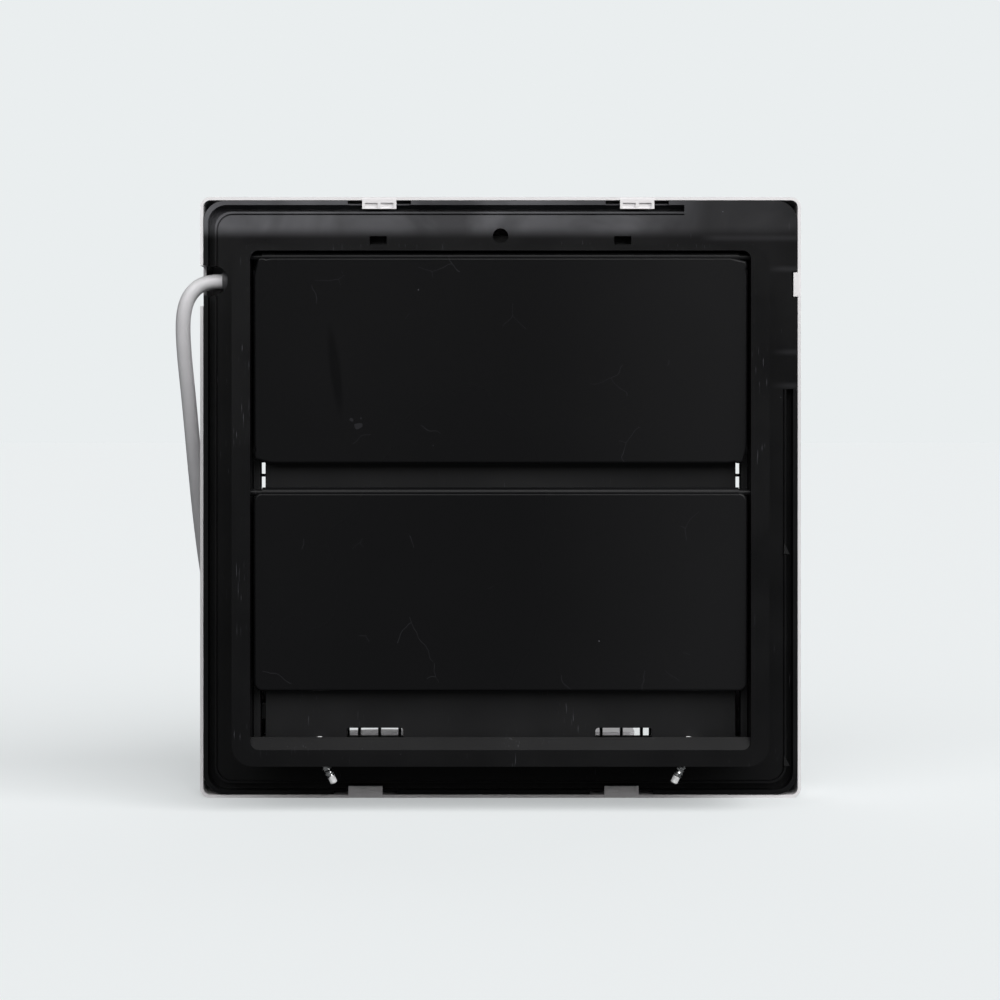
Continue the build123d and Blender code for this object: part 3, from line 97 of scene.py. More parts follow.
def end_material(tree, colour, rough, bump, sockets):
    """Closes a material with a principled shader and its output; sockets are uniform values."""
    shade = add_node(
        tree, "ShaderNodeBsdfPrincipled",
        {
            "Base Color": colour,
            "Roughness": rough.outputs["Result"],
            "Normal": bump.outputs["Normal"],
            **sockets,
        },
    )
    add_node(tree, "ShaderNodeOutputMaterial", {"Surface": shade.outputs["BSDF"]})


PAPER, PAPER_BOUNCE = "#FBFEFF", "#6E7071"
PAPER_GLOW = 0.5             # how far the bright backdrop washes out the paper's shadows
FLOOR_SIZE = 40
BACKDROP, ROOM_BOUNCE = "#EAEEEF", "#1E1F20"

paper, tree, place = new_material("pale_paper")
fibre = add_node(tree, "ShaderNodeTexNoise", {"Vector": place, "Scale": 900.0})
bump = add_node(
    tree, "ShaderNodeBump", {"Height": fibre.outputs["Fac"], "Strength": 0.05, "Distance": 0.0002}
)
ray = add_node(tree, "ShaderNodeLightPath")
tone = add_node(
    tree, "ShaderNodeMix",
    {0: ray.outputs["Is Camera Ray"], 6: hex_colour(PAPER_BOUNCE), 7: hex_colour(PAPER)},
    data_type="RGBA",
)
shade = add_node(
    tree, "ShaderNodeBsdfDiffuse", {"Color": tone.outputs[2], "Normal": bump.outputs["Normal"]}
)
glow = add_node(tree, "ShaderNodeEmission", {"Color": hex_colour(BACKDROP)})
lit = add_node(
    tree, "ShaderNodeMath", {0: ray.outputs["Is Camera Ray"], 1: PAPER_GLOW}, operation="MULTIPLY"
)
even = add_node(
    tree, "ShaderNodeMixShader",
    {0: lit.outputs[0], 1: shade.outputs["BSDF"], 2: glow.outputs["Emission"]},
)
add_node(tree, "ShaderNodeOutputMaterial", {"Surface": even.outputs["Shader"]})

bpy.ops.mesh.primitive_plane_add(size=FLOOR_SIZE)
floor = bpy.context.object
floor.name = "paper_floor"
floor.data.materials.append(paper)

world = bpy.data.worlds.new("studio_room")
world.use_nodes = True
tree = world.node_tree
ray = add_node(tree, "ShaderNodeLightPath")
tone = add_node(
    tree, "ShaderNodeMix",
    {0: ray.outputs["Is Camera Ray"], 6: hex_colour(ROOM_BOUNCE), 7: hex_colour(BACKDROP)},
    data_type="RGBA",
)
tree.links.new(tone.outputs[2], tree.nodes["Background"].inputs["Color"])
bpy.context.scene.world = world

LIGHTS = (                   # name, degrees right of the camera, up and across, strength
    ("key", 38, 35, 55, 2.95),
    ("fill", -14, 34, 50, 1.35),
    ("back", 168, 22, 80, 0.6),
)
for name, side, height, spread, power in LIGHTS:
    light_data = bpy.data.lights.new(name, "SUN")
    light_data.energy = power
    light_data.angle = math.radians(spread)
    light = bpy.data.objects.new(name, light_data)
    light.rotation_euler = (math.radians(90 - height), 0, math.radians(side))
    bpy.context.collection.objects.link(light)

# ---------------------------------------------------------------- power cord
# Three core flexible cord, 7.2 mm across, extruded in a light grey PVC sheath. It leaves
# the wiring box's grommet, bends down beside the frame, passes behind the fan and is wound
# into a neat coil of three turns, which ends in the moulded plug.
MM = 0.001
CORD_D = 7.2
CORD_ROUTE = [
    (-134.5, 8.5, 249.7),
    (-143.5, 8.5, 249.7),
    (-151.0, 7.8, 243.6),
    (-154.3, 8.0, 233.6),
    (-154.2, 10.5, 217.0),
    (-152.2, 18.0, 190.0),
    (-151.2, 33.0, 159.0),
    (-150.6, 55.0, 127.0),
    (-149.0, 79.0, 95.0),
    (-145.0, 103.0, 63.0),
    (-138.0, 126.0, 34.0),
    (-127.0, 145.0, 12.5),
    (-110.0, 162.0, 3.6),
    (-89.0, 168.2, 3.6),
    (-74.0, 168.8, 3.6),
]
COIL_X, COIL_Y = -62.0, 122.0
OUTER_TURN, INNER_TURN = 46.8, 39.6
FIRST_LAYER, SECOND_LAYER = 3.6, 10.8
TURNS, STEPS = 3, 16         # turns of the coil, and points in each
CHANGE = 0.125               # share of a turn in which the cord changes its lane
PLUG_ROUTE = [
    (-46.0, 161.6, 10.8),
    (-34.0, 161.8, 10.8),
    (-16.0, 161.0, 9.2),
    (-2.0, 160.0, 7.5),
    (12.0, 160.0, 7.5),
]


def coil_point(turn):
    """Control point after a number of turns: outer lane, inner lane, then on top of it."""
    inwards = min(max((turn - (1 - CHANGE)) / CHANGE, 0), 1)
    upwards = min(max((turn - (2 - 2 * CHANGE)) / CHANGE, 0), 1)
    radius = OUTER_TURN + (INNER_TURN - OUTER_TURN) * inwards
    radius /= math.cos(math.pi / STEPS)
    angle = math.radians(90) - math.tau * turn
    height = FIRST_LAYER + (SECOND_LAYER - FIRST_LAYER) * upwards
    return COIL_X + radius * math.cos(angle), COIL_Y + radius * math.sin(angle), height


coil = [coil_point(i / STEPS) for i in range(1, TURNS * STEPS)]
cord_points = CORD_ROUTE + coil + PLUG_ROUTE
cord_data = bpy.data.curves.new("flexible_cord", "CURVE")
cord_data.dimensions = "3D"
spline = cord_data.splines.new("NURBS")
spline.points.add(len(cord_points) - 1)
for point, spot in zip(spline.points, cord_points):
    point.co = (*[v * MM for v in spot], 1.0)
spline.order_u = 3
spline.use_endpoint_u = True
spline.resolution_u = 8
cord_data.bevel_depth = CORD_D / 2 * MM
cord_data.bevel_resolution = 6
cord_data.use_fill_caps = True
flexible_cord = bpy.data.objects.new("flexible_cord", cord_data)
bpy.context.collection.objects.link(flexible_cord)

# Extruded soft PVC: even light grey, a soft sheen, slightly wavy over its twisted cores.
sheath, tree, place = new_material("extruded_grey_pvc")
waves = add_node(tree, "ShaderNodeTexNoise", {"Vector": place, "Scale": 60.0, "Detail": 3.0})
grime = add_node(tree, "ShaderNodeTexNoise", {"Vector": place, "Scale": 420.0, "Detail": 4.0})
tone = add_node(
    tree, "ShaderNodeMix",
    {0: waves.outputs["Fac"], 6: hex_colour("#D6D5D7"), 7: hex_colour("#E4E3E5")},
    data_type="RGBA",
)
rough = add_node(
    tree, "ShaderNodeMapRange", {"Value": grime.outputs["Fac"], "To Min": 0.38, "To Max": 0.54}
)
bump = add_node(
    tree, "ShaderNodeBump", {"Height": waves.outputs["Fac"], "Strength": 0.3, "Distance": 0.0004}
)
end_material(tree, tone.outputs[2], rough, bump, {"IOR": 1.52})
cord_data.materials.append(sheath)
nodes["inner_cord"].material_slots[0].material = sheath
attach(flexible_cord, "fan_body")
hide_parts("power_cord", "cord_coil", "plug_lead")


# ---------------------------------------------------------------- rear housing
# One black polypropylene moulding: the flange with its drip groove and the double walled
# collar. Injection moulded on a lightly sparked tool, so it has a fine grain, sink marks
# and weld lines where the walls meet, and the handling of a used fan has scuffed its rim.
def moulded_black(name, dark, light, rough_low, rough_high, dust, shine, marks=(), painted_sheen_from=None):
    """Black moulding between two hex tones; dust is the share of specks that is left out.

    shine is the strength of its reflections, which the grain of its tool weakens.

    marks are (height, from x) in metres: faint pale sink lines across the flange's face.
    Above a height given as the last argument, a painted sheen of the light from above greys the
    plastic in patches, weaker from 6 cm right of the middle.
    """
    material, tree, place = new_material(name)
    clouds = add_node(
        tree, "ShaderNodeTexNoise",
        {"Vector": place, "Scale": 22.0, "Detail": 4.0, "Roughness": 0.55},
    )
    tone = add_node(
        tree, "ShaderNodeMix",
        {0: clouds.outputs["Fac"], 6: hex_colour(dark), 7: hex_colour(light)},
        data_type="RGBA",
    )
    # scuffs: thin pale streaks that run up and down, 0.2 mm wide and 5 to 10 mm long
    streak_space = add_node(
        tree, "ShaderNodeMapping",
        {"Vector": place, "Scale": (2600.0, 900.0, 110.0), "Rotation": (0.0, 0.06, 0.0)},
    )
    streaks = add_node(
        tree, "ShaderNodeTexNoise",
        {"Vector": streak_space.outputs["Vector"], "Scale": 1.0, "Detail": 1.0},
    )
    thin = add_node(
        tree, "ShaderNodeMapRange",
        {"Value": streaks.outputs["Fac"], "From Min": 0.70, "From Max": 0.78},
    )
    patches = add_node(tree, "ShaderNodeTexNoise", {"Vector": place, "Scale": 48.0, "Detail": 1.0})
    worn = add_node(
        tree, "ShaderNodeMapRange",
        {"Value": patches.outputs["Fac"], "From Min": 0.54, "From Max": 0.66},
    )
    scuff = add_node(
        tree, "ShaderNodeMath",
        {0: thin.outputs["Result"], 1: worn.outputs["Result"]},
        operation="MULTIPLY",
    )
    # dust: pale specks 0.3 to 0.6 mm across
    specks = add_node(tree, "ShaderNodeTexVoronoi", {"Vector": place, "Scale": 150.0})
    small = add_node(
        tree, "ShaderNodeMath", {0: specks.outputs["Distance"], 1: 0.045}, operation="LESS_THAN"
    )
    pick = add_node(tree, "ShaderNodeTexNoise", {"Vector": place, "Scale": 70.0})
    some = add_node(
        tree, "ShaderNodeMath", {0: pick.outputs["Fac"], 1: dust},
        operation="GREATER_THAN",
    )
    speck = add_node(
        tree, "ShaderNodeMath", {0: small.outputs[0], 1: some.outputs[0]}, operation="MULTIPLY"
    )
    pale = add_node(
        tree, "ShaderNodeMath", {0: scuff.outputs[0], 1: speck.outputs[0]}, operation="MAXIMUM"
    )
    marked = tone.outputs[2]
    part = add_node(tree, "ShaderNodeSeparateXYZ", {"Vector": place})
    for height, start in marks:
        above = add_node(
            tree, "ShaderNodeMath", {0: part.outputs["Z"], 1: height}, operation="SUBTRACT"
        )
        away = add_node(tree, "ShaderNodeMath", {0: above.outputs[0]}, operation="ABSOLUTE")
        line = add_node(
            tree, "ShaderNodeMapRange",
            {"Value": away.outputs[0], "From Max": 0.0022, "To Min": 1.0, "To Max": 0.0},
            interpolation_type="SMOOTHSTEP",
        )
        beyond = add_node(
            tree, "ShaderNodeMapRange",
            {
                "Value": part.outputs["X"],
                "From Min": start,
                "From Max": start + 0.008,
                "To Max": 0.5,
            },
        )
        sink = add_node(
            tree, "ShaderNodeMath", {0: line.outputs["Result"], 1: beyond.outputs["Result"]},
            operation="MULTIPLY",
        )
        marked = add_node(
            tree, "ShaderNodeMix",
            {0: sink.outputs[0], 6: marked, 7: hex_colour("#2F2F31")},
            data_type="RGBA",
        ).outputs[2]
    # painted sheen: the top of the flange is painted greyer in patches, for the reflection of the
    # light from above
    if painted_sheen_from:
        high = add_node(
            tree, "ShaderNodeMapRange",
            {"Value": part.outputs["Z"], "From Min": painted_sheen_from, "From Max": painted_sheen_from + 0.007},
            interpolation_type="SMOOTHSTEP",
        )
        left = add_node(
            tree, "ShaderNodeMapRange",
            {
                "Value": part.outputs["X"],
                "From Min": 0.06,
                "From Max": 0.10,
                "To Min": 1.0,
                "To Max": 0.25,
            },
        )
        sheen_breakup = add_node(
            tree, "ShaderNodeTexNoise",
            {"Vector": place, "Scale": 30.0, "Detail": 3.0, "Distortion": 0.6},
        )
        patchy = add_node(
            tree, "ShaderNodeMapRange",
            {"Value": sheen_breakup.outputs["Fac"], "From Min": 0.35, "From Max": 0.65, "To Min": 0.45},
        )
        greying = add_node(
            tree, "ShaderNodeMath", {0: high.outputs["Result"], 1: left.outputs["Result"]},
            operation="MULTIPLY",
        )
        greying = add_node(
            tree, "ShaderNodeMath",
            {0: greying.outputs[0], 1: patchy.outputs["Result"]},
            operation="MULTIPLY",
        )
        marked = add_node(
            tree, "ShaderNodeMix",
            {0: greying.outputs[0], 6: marked, 7: hex_colour("#5A5A5D")},
            data_type="RGBA",
        ).outputs[2]
    dusted = add_node(
        tree, "ShaderNodeMix",
        {0: pale.outputs[0], 6: marked, 7: hex_colour("#55555A")},
        data_type="RGBA",
    )
    rough = add_node(
        tree, "ShaderNodeMapRange",
        {
            "Value": clouds.outputs["Fac"],
            "From Min": 0.32,
            "From Max": 0.68,
            "To Min": rough_low,
            "To Max": rough_high,
        },
    )
    grain = add_node(tree, "ShaderNodeTexNoise", {"Vector": place, "Scale": 2200.0, "Detail": 2.0})
    bump = add_node(
        tree, "ShaderNodeBump",
        {"Height": grain.outputs["Fac"], "Strength": 0.22, "Distance": 0.00006},
    )
    end_material(tree, dusted.outputs[2], rough, bump, {"IOR": 1.47, "Specular IOR Level": shine})
    return material


def settle(piece):
    """Turns a piece with live modifiers into its plain mesh."""
    graph = bpy.context.evaluated_depsgraph_get()
    made = bpy.data.meshes.new_from_object(piece.evaluated_get(graph))
    piece.modifiers.clear()
    piece.data = made


def softened(node, name, radius, material, body="fan_body"):
    """Copy of a CAD node, merged, with moulded edge radii in mm, that stands for the node."""
    mesh = nodes[node].data.copy()
    shape = bmesh.new()
    shape.from_mesh(mesh)
    bmesh.ops.remove_doubles(shape, verts=shape.verts, dist=1e-6)
    bmesh.ops.dissolve_limit(
        shape,
        angle_limit=math.radians(0.6),
        verts=shape.verts,
        edges=shape.edges,
        delimit={"NORMAL"},
    )
    shape.to_mesh(mesh)
    shape.free()
    piece = bpy.data.objects.new(name, mesh)
    bpy.context.collection.objects.link(piece)
    mesh.shade_smooth()
    edge = piece.modifiers.new("edge", "BEVEL")
    edge.width = radius * MM
    edge.segments = 2
    edge.limit_method = "ANGLE"
    edge.angle_limit = math.radians(30)
    even = piece.modifiers.new("even", "WEIGHTED_NORMAL")
    even.keep_sharp = True
    settle(piece)
    piece.data.materials.clear()
    piece.data.materials.append(material)
    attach(piece, body)
    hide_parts(node)
    return piece


# height in metres, and x from which the mark shows
SINK_MARKS = ((0.2702, 0.096), (0.2553, 0.128), (0.2152, 0.130), (0.1990, 0.130))
# above 0.2695 m the flange's top gets a painted sheen of the light from above
housing_black = moulded_black(
    "moulded_black_polypropylene", "#0A0A0B", "#101011", 0.27, 0.38, 0.62, 0.2, SINK_MARKS, 0.2695
)
softened("rear_housing", "housing_moulding", 0.35, housing_black)

# Two small spring barbs stand in the drip groove on the right, and grip a mounting frame.
BARB_X, BARB_Y = 136.6, 1.2
BARB_W, BARB_H, BARB_RISE = 3.0, 6.4, 2.4
BARB_FEET = (117.0, 14.8)    # height of each barb's foot
shape = bmesh.new()
for low in BARB_FEET:
    foot = [
        shape.verts.new(Vector((BARB_X + x, BARB_Y + y, low + z)) * MM)
        for x, y, z in (
            (0.0, 2.0, 0.0),
            (BARB_W, 2.0, 0.4),
            (0.2, 2.0, BARB_H),
            (0.0, -BARB_RISE, 0.9),
            (BARB_W, -BARB_RISE + 1.4, 0.6),
            (0.2, -BARB_RISE + 0.6, BARB_H - 0.4),
        )
    ]
    for corners in ((2, 1, 0), (3, 4, 5), (0, 1, 4, 3), (1, 2, 5, 4), (2, 0, 3, 5)):
        shape.faces.new([foot[i] for i in corners])
bmesh.ops.recalc_face_normals(shape, faces=shape.faces)
barb_mesh = bpy.data.meshes.new("groove_barbs")
shape.to_mesh(barb_mesh)
shape.free()
groove_barbs = bpy.data.objects.new("groove_barbs", barb_mesh)
bpy.context.collection.objects.link(groove_barbs)
barb_mesh.materials.append(housing_black)
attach(groove_barbs, "fan_body")

# ---------------------------------------------------------------- shutter frame
# Black polypropylene moulding clipped into the collar; its crossbar and bottom plate have
# a slightly greyer, more open grain than the flaps that close on them.
frame_black = moulded_black(
    "sparked_black_polypropylene", "#121213", "#171718", 0.33, 0.42, 0.66, 0.28
)
softened("shutter_frame", "shutter_moulding", 0.3, frame_black)

# ---------------------------------------------------------------- flaps
# Two light flaps in polished black polystyrene, each on two stub pivots. They are the
# darkest and smoothest pieces, and show dust, hair marks and a wiped streak.
STREAK_X, STREAK_Z = -0.0765, 0.2055
STREAK_W, STREAK_H, STREAK_LEAN = 0.0030, 0.0225, math.radians(-7)


def flap_black(name, wiped):
    """Satin flap face: dust, sparse fine hairs and, where it has been wiped, a dark streak."""
    material, tree, place = new_material(name)
    clouds = add_node(tree, "ShaderNodeTexNoise", {"Vector": place, "Scale": 9.0, "Detail": 3.0})
    part = add_node(tree, "ShaderNodeSeparateXYZ", {"Vector": place})
    # the tone grows greyer from the middle towards the right side
    greying = add_node(
        tree, "ShaderNodeMapRange",
        {"Value": part.outputs["X"], "From Min": 0.0, "From Max": 0.115, "To Max": 0.75},
        interpolation_type="SMOOTHSTEP",
    )
    mottle = add_node(
        tree, "ShaderNodeMath", {0: clouds.outputs["Fac"], 1: 0.5, 2: greying.outputs["Result"]},
        operation="MULTIPLY_ADD",
    )
    mottle.use_clamp = True
    tone = add_node(
        tree, "ShaderNodeMix",
        {0: mottle.outputs[0], 6: hex_colour("#0D0D0E"), 7: hex_colour("#151516")},
        data_type="RGBA",
    )
    specks = add_node(tree, "ShaderNodeTexVoronoi", {"Vector": place, "Scale": 110.0})
    small = add_node(
        tree, "ShaderNodeMath", {0: specks.outputs["Distance"], 1: 0.036}, operation="LESS_THAN"
    )
    pick = add_node(tree, "ShaderNodeTexNoise", {"Vector": place, "Scale": 55.0})
    some = add_node(
        tree, "ShaderNodeMath", {0: pick.outputs["Fac"], 1: 0.6},
        operation="GREATER_THAN",
    )
    speck = add_node(
        tree, "ShaderNodeMath", {0: small.outputs[0], 1: some.outputs[0]}, operation="MULTIPLY"
    )
    # hairs: the thin borders of a few warped cells, 0.15 mm wide
    bent = add_node(
        tree, "ShaderNodeTexNoise", {"Vector": place, "Scale": 60.0, "Detail": 2.0}
    )
    warp = add_node(
        tree, "ShaderNodeMix",
        {0: 0.012, 4: place, 5: bent.outputs["Color"]},
        data_type="VECTOR",
    )
    cells = add_node(
        tree, "ShaderNodeTexVoronoi", {"Vector": warp.outputs[1], "Scale": 38.0},
        feature="DISTANCE_TO_EDGE",
    )
    line = add_node(
        tree, "ShaderNodeMath", {0: cells.outputs["Distance"], 1: 0.0035}, operation="LESS_THAN"
    )
    where = add_node(tree, "ShaderNodeTexNoise", {"Vector": place, "Scale": 42.0, "Detail": 0.0})
    few = add_node(
        tree, "ShaderNodeMath", {0: where.outputs["Fac"], 1: 0.68},
        operation="GREATER_THAN",
    )
    hair = add_node(
        tree, "ShaderNodeMath", {0: line.outputs[0], 1: few.outputs[0]}, operation="MULTIPLY"
    )
    half = add_node(tree, "ShaderNodeMath", {0: hair.outputs[0], 1: 0.2}, operation="MULTIPLY")
    pale = add_node(
        tree, "ShaderNodeMath", {0: speck.outputs[0], 1: half.outputs[0]}, operation="MAXIMUM"
    )
    dusted = add_node(
        tree, "ShaderNodeMix",
        {0: pale.outputs[0], 6: tone.outputs[2], 7: hex_colour("#4A4A4E")},
        data_type="RGBA",
    )
    colour = dusted.outputs[2]
    if wiped:
        centred = add_node(
            tree, "ShaderNodeMapping",
            {
                "Vector": place,
                "Location": (STREAK_X, 0.0, STREAK_Z),
                "Rotation": (0.0, STREAK_LEAN, 0.0),
                "Scale": (STREAK_W, 10.0, STREAK_H),
            },
            vector_type="TEXTURE",
        )
        away = add_node(
            tree, "ShaderNodeVectorMath", {0: centred.outputs["Vector"]},
            operation="LENGTH",
        )
        smear = add_node(
            tree, "ShaderNodeMapRange",
            {
                "Value": away.outputs["Value"],
                "From Min": 0.55,
                "From Max": 1.05,
                "To Min": 0.75,
                "To Max": 0.0,
            },
        )
        colour = add_node(
            tree, "ShaderNodeMix",
            {0: smear.outputs["Result"], 6: colour, 7: hex_colour("#060607")},
            data_type="RGBA",
        ).outputs[2]
    rough = add_node(
        tree, "ShaderNodeMapRange", {"Value": mottle.outputs[0], "To Min": 0.25, "To Max": 0.35}
    )
    grain = add_node(tree, "ShaderNodeTexNoise", {"Vector": place, "Scale": 1700.0, "Detail": 2.0})
    bump = add_node(
        tree, "ShaderNodeBump",
        {"Height": grain.outputs["Fac"], "Strength": 0.16, "Distance": 0.00005},
    )
    end_material(tree, colour, rough, bump, {"IOR": 1.47, "Specular IOR Level": 0.16})
    return material


wiped_black = flap_black("wiped_black_polystyrene", True)
dusty_black = flap_black("dusty_black_polystyrene", False)
softened("upper_flap", "upper_flap_moulding", 0.25, wiped_black, "upper_flap")
softened("lower_flap", "lower_flap_moulding", 0.25, dusty_black, "lower_flap")

# ---------------------------------------------------------------- orifice plate
# Black moulding with the bell mouth round the impeller, screwed to the housing's bosses.
plate_black = moulded_black("dull_black_polypropylene", "#121213", "#171718", 0.4, 0.5, 0.58, 0.28)
softened("orifice_plate", "orifice_moulding", 0.3, plate_black)

# ---------------------------------------------------------------- fixing screws
# Two self tapping screws, cold headed and thread rolled in steel, then bright zinc plated.
# They lean outwards through the collar's bottom wall and end in a smooth dog point.
SCREW_SPOTS = ((-85.0, 25.0), (88.2, -25.0))     # x on the duct's floor, and lean in degrees
SCREW_Y = -46.0
DUCT_FLOOR = 30.0            # height of the duct's floor
SHANK_R, THREAD_RISE, THREAD_PITCH = 1.75, 0.55, 1.45
SHANK_L, DOG_R, DOG_L = 16.6, 1.7, 3.5
HEAD_R, HEAD_T, SEAT = 4.2, 2.6, 1.97


def bright_metal(name, tone_low, tone_high, rough_low, rough_high, scratch, spangle=None):
    """Plated or machined metal between two hex tones, with fine scratches 1/scratch m apart.

    spangle makes its tones change from crystal to crystal, 1/spangle m across.
    """
    material, tree, place = new_material(name)
    if spangle:
        cells = add_node(tree, "ShaderNodeTexVoronoi", {"Vector": place, "Scale": spangle})
        cloud = cells.outputs["Color"]
    else:
        noise = add_node(tree, "ShaderNodeTexNoise", {"Vector": place, "Scale": 240.0, "Detail": 4.0})
        cloud = noise.outputs["Fac"]
    tone = add_node(
        tree, "ShaderNodeMix",
        {0: cloud, 6: hex_colour(tone_low), 7: hex_colour(tone_high)},
        data_type="RGBA",
    )
    rough = add_node(
        tree, "ShaderNodeMapRange",
        {"Value": cloud, "To Min": rough_low, "To Max": rough_high},
    )
    lines = add_node(tree, "ShaderNodeTexNoise", {"Vector": place, "Scale": scratch, "Detail": 3.0})
    bump = add_node(
        tree, "ShaderNodeBump",
        {"Height": lines.outputs["Fac"], "Strength": 0.15, "Distance": 0.00004},
    )
    end_material(tree, tone.outputs[2], rough, bump, {"Metallic": 1.0})
    return material


def dress(material, *names):
    """Gives CAD nodes that stay as they are their material."""
    for name in names:
        nodes[name].material_slots[0].material = material


zinc_plate = bright_metal("bright_zinc_plate", "#B9BABC", "#E4E4E3", 0.16, 0.32, 1500.0)
dress(zinc_plate, "orifice_screws")


def new_tree(name, sizes):
    """A Geometry Nodes tree with a mesh in, a mesh out and named float inputs."""
    tree = bpy.data.node_groups.new(name, "GeometryNodeTree")
    tree.interface.new_socket("Mesh", in_out="INPUT", socket_type="NodeSocketGeometry")
    for size in sizes:
        tree.interface.new_socket(size, in_out="INPUT", socket_type="NodeSocketFloat")
    tree.interface.new_socket("Mesh", in_out="OUTPUT", socket_type="NodeSocketGeometry")
    given = add_node(tree, "NodeGroupInput").outputs
    return tree, given


def end_tree(tree, geometry, material):
    """Realizes the instances, sets the material and links the tree's output."""
    whole = add_node(tree, "GeometryNodeRealizeInstances", {"Geometry": geometry})
    dressed = add_node(
        tree, "GeometryNodeSetMaterial",
        {"Geometry": whole.outputs["Geometry"], "Material": material},
    )
    add_node(tree, "NodeGroupOutput", {"Mesh": dressed.outputs["Geometry"]})


def grown(name, tree, sizes, start=None):
    """Runs a tree with its named sizes in mm on a start mesh, and keeps the plain mesh."""
    seed = start or bpy.data.meshes.new(name)
    piece = bpy.data.objects.new(name, seed)
    bpy.context.collection.objects.link(piece)
    grow = piece.modifiers.new("grow", "NODES")
    grow.node_group = tree
    for item in tree.interface.items_tree:
        if item.in_out == "INPUT" and item.name in sizes:
            grow[item.identifier] = float(sizes[item.name]) * MM
    settle(piece)
    return piece


# Thread: a pointed profile swept along a spiral round the core, on the core's cylinder.
thread_tree, given = new_tree("rolled_thread", ("Core", "Rise", "Pitch", "Length"))
turns = add_node(
    thread_tree, "ShaderNodeMath", {0: given["Length"], 1: given["Pitch"]}, operation="DIVIDE"
)
spiral = add_node(
    thread_tree, "GeometryNodeCurveSpiral",
    {
        "Resolution": 24,
        "Rotations": turns.outputs[0],
        "Start Radius": given["Core"],
        "End Radius": given["Core"],
        "Height": given["Length"],
        "Reverse": False,
    },
)
ridge = add_node(
    thread_tree, "GeometryNodeCurvePrimitiveCircle", {"Resolution": 4, "Radius": given["Rise"]}
)
thread = add_node(
    thread_tree, "GeometryNodeCurveToMesh",
    {"Curve": spiral.outputs["Curve"], "Profile Curve": ridge.outputs["Curve"], "Fill Caps": True},
)
core = add_node(
    thread_tree, "GeometryNodeMeshCylinder",
    {"Vertices": 32, "Radius": given["Core"], "Depth": given["Length"]},
)
half_length = add_node(
    thread_tree, "ShaderNodeMath", {0: given["Length"], 1: 0.5}, operation="MULTIPLY"
)
lift = add_node(thread_tree, "ShaderNodeCombineXYZ", {"Z": half_length.outputs[0]})
core_up = add_node(
    thread_tree, "GeometryNodeTransform",
    {"Geometry": core.outputs["Mesh"], "Translation": lift.outputs["Vector"]},
)
both = add_node(thread_tree, "GeometryNodeJoinGeometry", {"Geometry": thread.outputs["Mesh"]})
thread_tree.links.new(core_up.outputs["Geometry"], both.inputs["Geometry"])
end_tree(thread_tree, both.outputs["Geometry"], zinc_plate)


def turned(profile, steps=40):
    """Closed bmesh of a (radius, height) profile turned about Z, in mm, from axis to axis."""
    shape = bmesh.new()
    line = [shape.verts.new((radius * MM, 0, height * MM)) for radius, height in profile]
    edges = [shape.edges.new(pair) for pair in zip(line, line[1:])]
    bmesh.ops.spin(
        shape, geom=line + edges, axis=(0, 0, 1), cent=(0, 0, 0), angle=math.tau, steps=steps
    )
    bmesh.ops.remove_doubles(shape, verts=shape.verts, dist=1e-7)
    bmesh.ops.recalc_face_normals(shape, faces=shape.faces)
    return shape


THREAD = {"Core": SHANK_R, "Rise": THREAD_RISE, "Pitch": THREAD_PITCH, "Length": SHANK_L}
HEAD = ((0, -HEAD_T), (2.6, -HEAD_T), (3.7, -2.1), (HEAD_R, -1.2), (HEAD_R, 0), (0, 0))
DOG = ((0, 0), (SHANK_R, 0), (DOG_R, 0.6), (DOG_R, DOG_L - 0.5), (1.3, DOG_L), (0, DOG_L))
for i, (x, lean) in enumerate(SCREW_SPOTS):
    screw = grown(f"fixing_screw_{i + 1}", thread_tree, THREAD)
    down = Vector((math.sin(math.radians(lean)), 0, -math.cos(math.radians(lean))))
    seat = Vector((x, SCREW_Y, DUCT_FLOOR)) - down * SEAT
    shape = bmesh.new()
    shape.from_mesh(screw.data)
    for profile, start in ((HEAD, 0), (DOG, SHANK_L)):
        lump = turned([(radius, height + start) for radius, height in profile])
        part_mesh = bpy.data.meshes.new("part")
        lump.to_mesh(part_mesh)
        lump.free()
        shape.from_mesh(part_mesh)
    turn = down.to_track_quat("Z", "Y").to_matrix().to_4x4()
    bmesh.ops.transform(shape, matrix=turn, verts=shape.verts)
    bmesh.ops.translate(shape, vec=seat * MM, verts=shape.verts)
    shape.to_mesh(screw.data)
    shape.free()
    screw.data.shade_smooth()
    screw.data.set_sharp_from_angle(angle=math.radians(35))
    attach(screw, "fan_body")
    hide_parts("fixing_screws")

# ---------------------------------------------------------------- motor
# Capacitor motor: two drawn shells in galvanised steel round a stack of punched
# laminations, with enamelled copper windings, sintered bronze bearings and a ground steel
# shaft. Its bracket is pressed from the same sheet and screwed to the orifice plate.
def striped_metal(name, tone_low, tone_high, rough, pitch, direction, depth):
    """Metal made of layers or turns: stripes across a direction, pitch and depth in mm."""
    material, tree, place = new_material(name)
    layers = add_node(
        tree, "ShaderNodeTexWave", {"Vector": place, "Scale": math.tau / 20 / (pitch * MM)},
        bands_direction=direction,
    )
    # The darker tone lies in each stripe's groove: painted shade between the wire's turns, and
    # between the sheets a dark joint with painted shade in it.
    tone = add_node(
        tree, "ShaderNodeMix",
        {0: layers.outputs["Fac"], 6: hex_colour(tone_low), 7: hex_colour(tone_high)},
        data_type="RGBA",
    )
    stain = add_node(tree, "ShaderNodeTexNoise", {"Vector": place, "Scale": 300.0, "Detail": 3.0})
    uneven = add_node(
        tree, "ShaderNodeMapRange",
        {"Value": stain.outputs["Fac"], "To Min": rough - 0.1, "To Max": rough + 0.1},
    )
    bump = add_node(
        tree, "ShaderNodeBump",
        {"Height": layers.outputs["Fac"], "Strength": 0.8, "Distance": depth * MM},
    )
    end_material(tree, tone.outputs[2], uneven, bump, {"Metallic": 1.0})
    return material


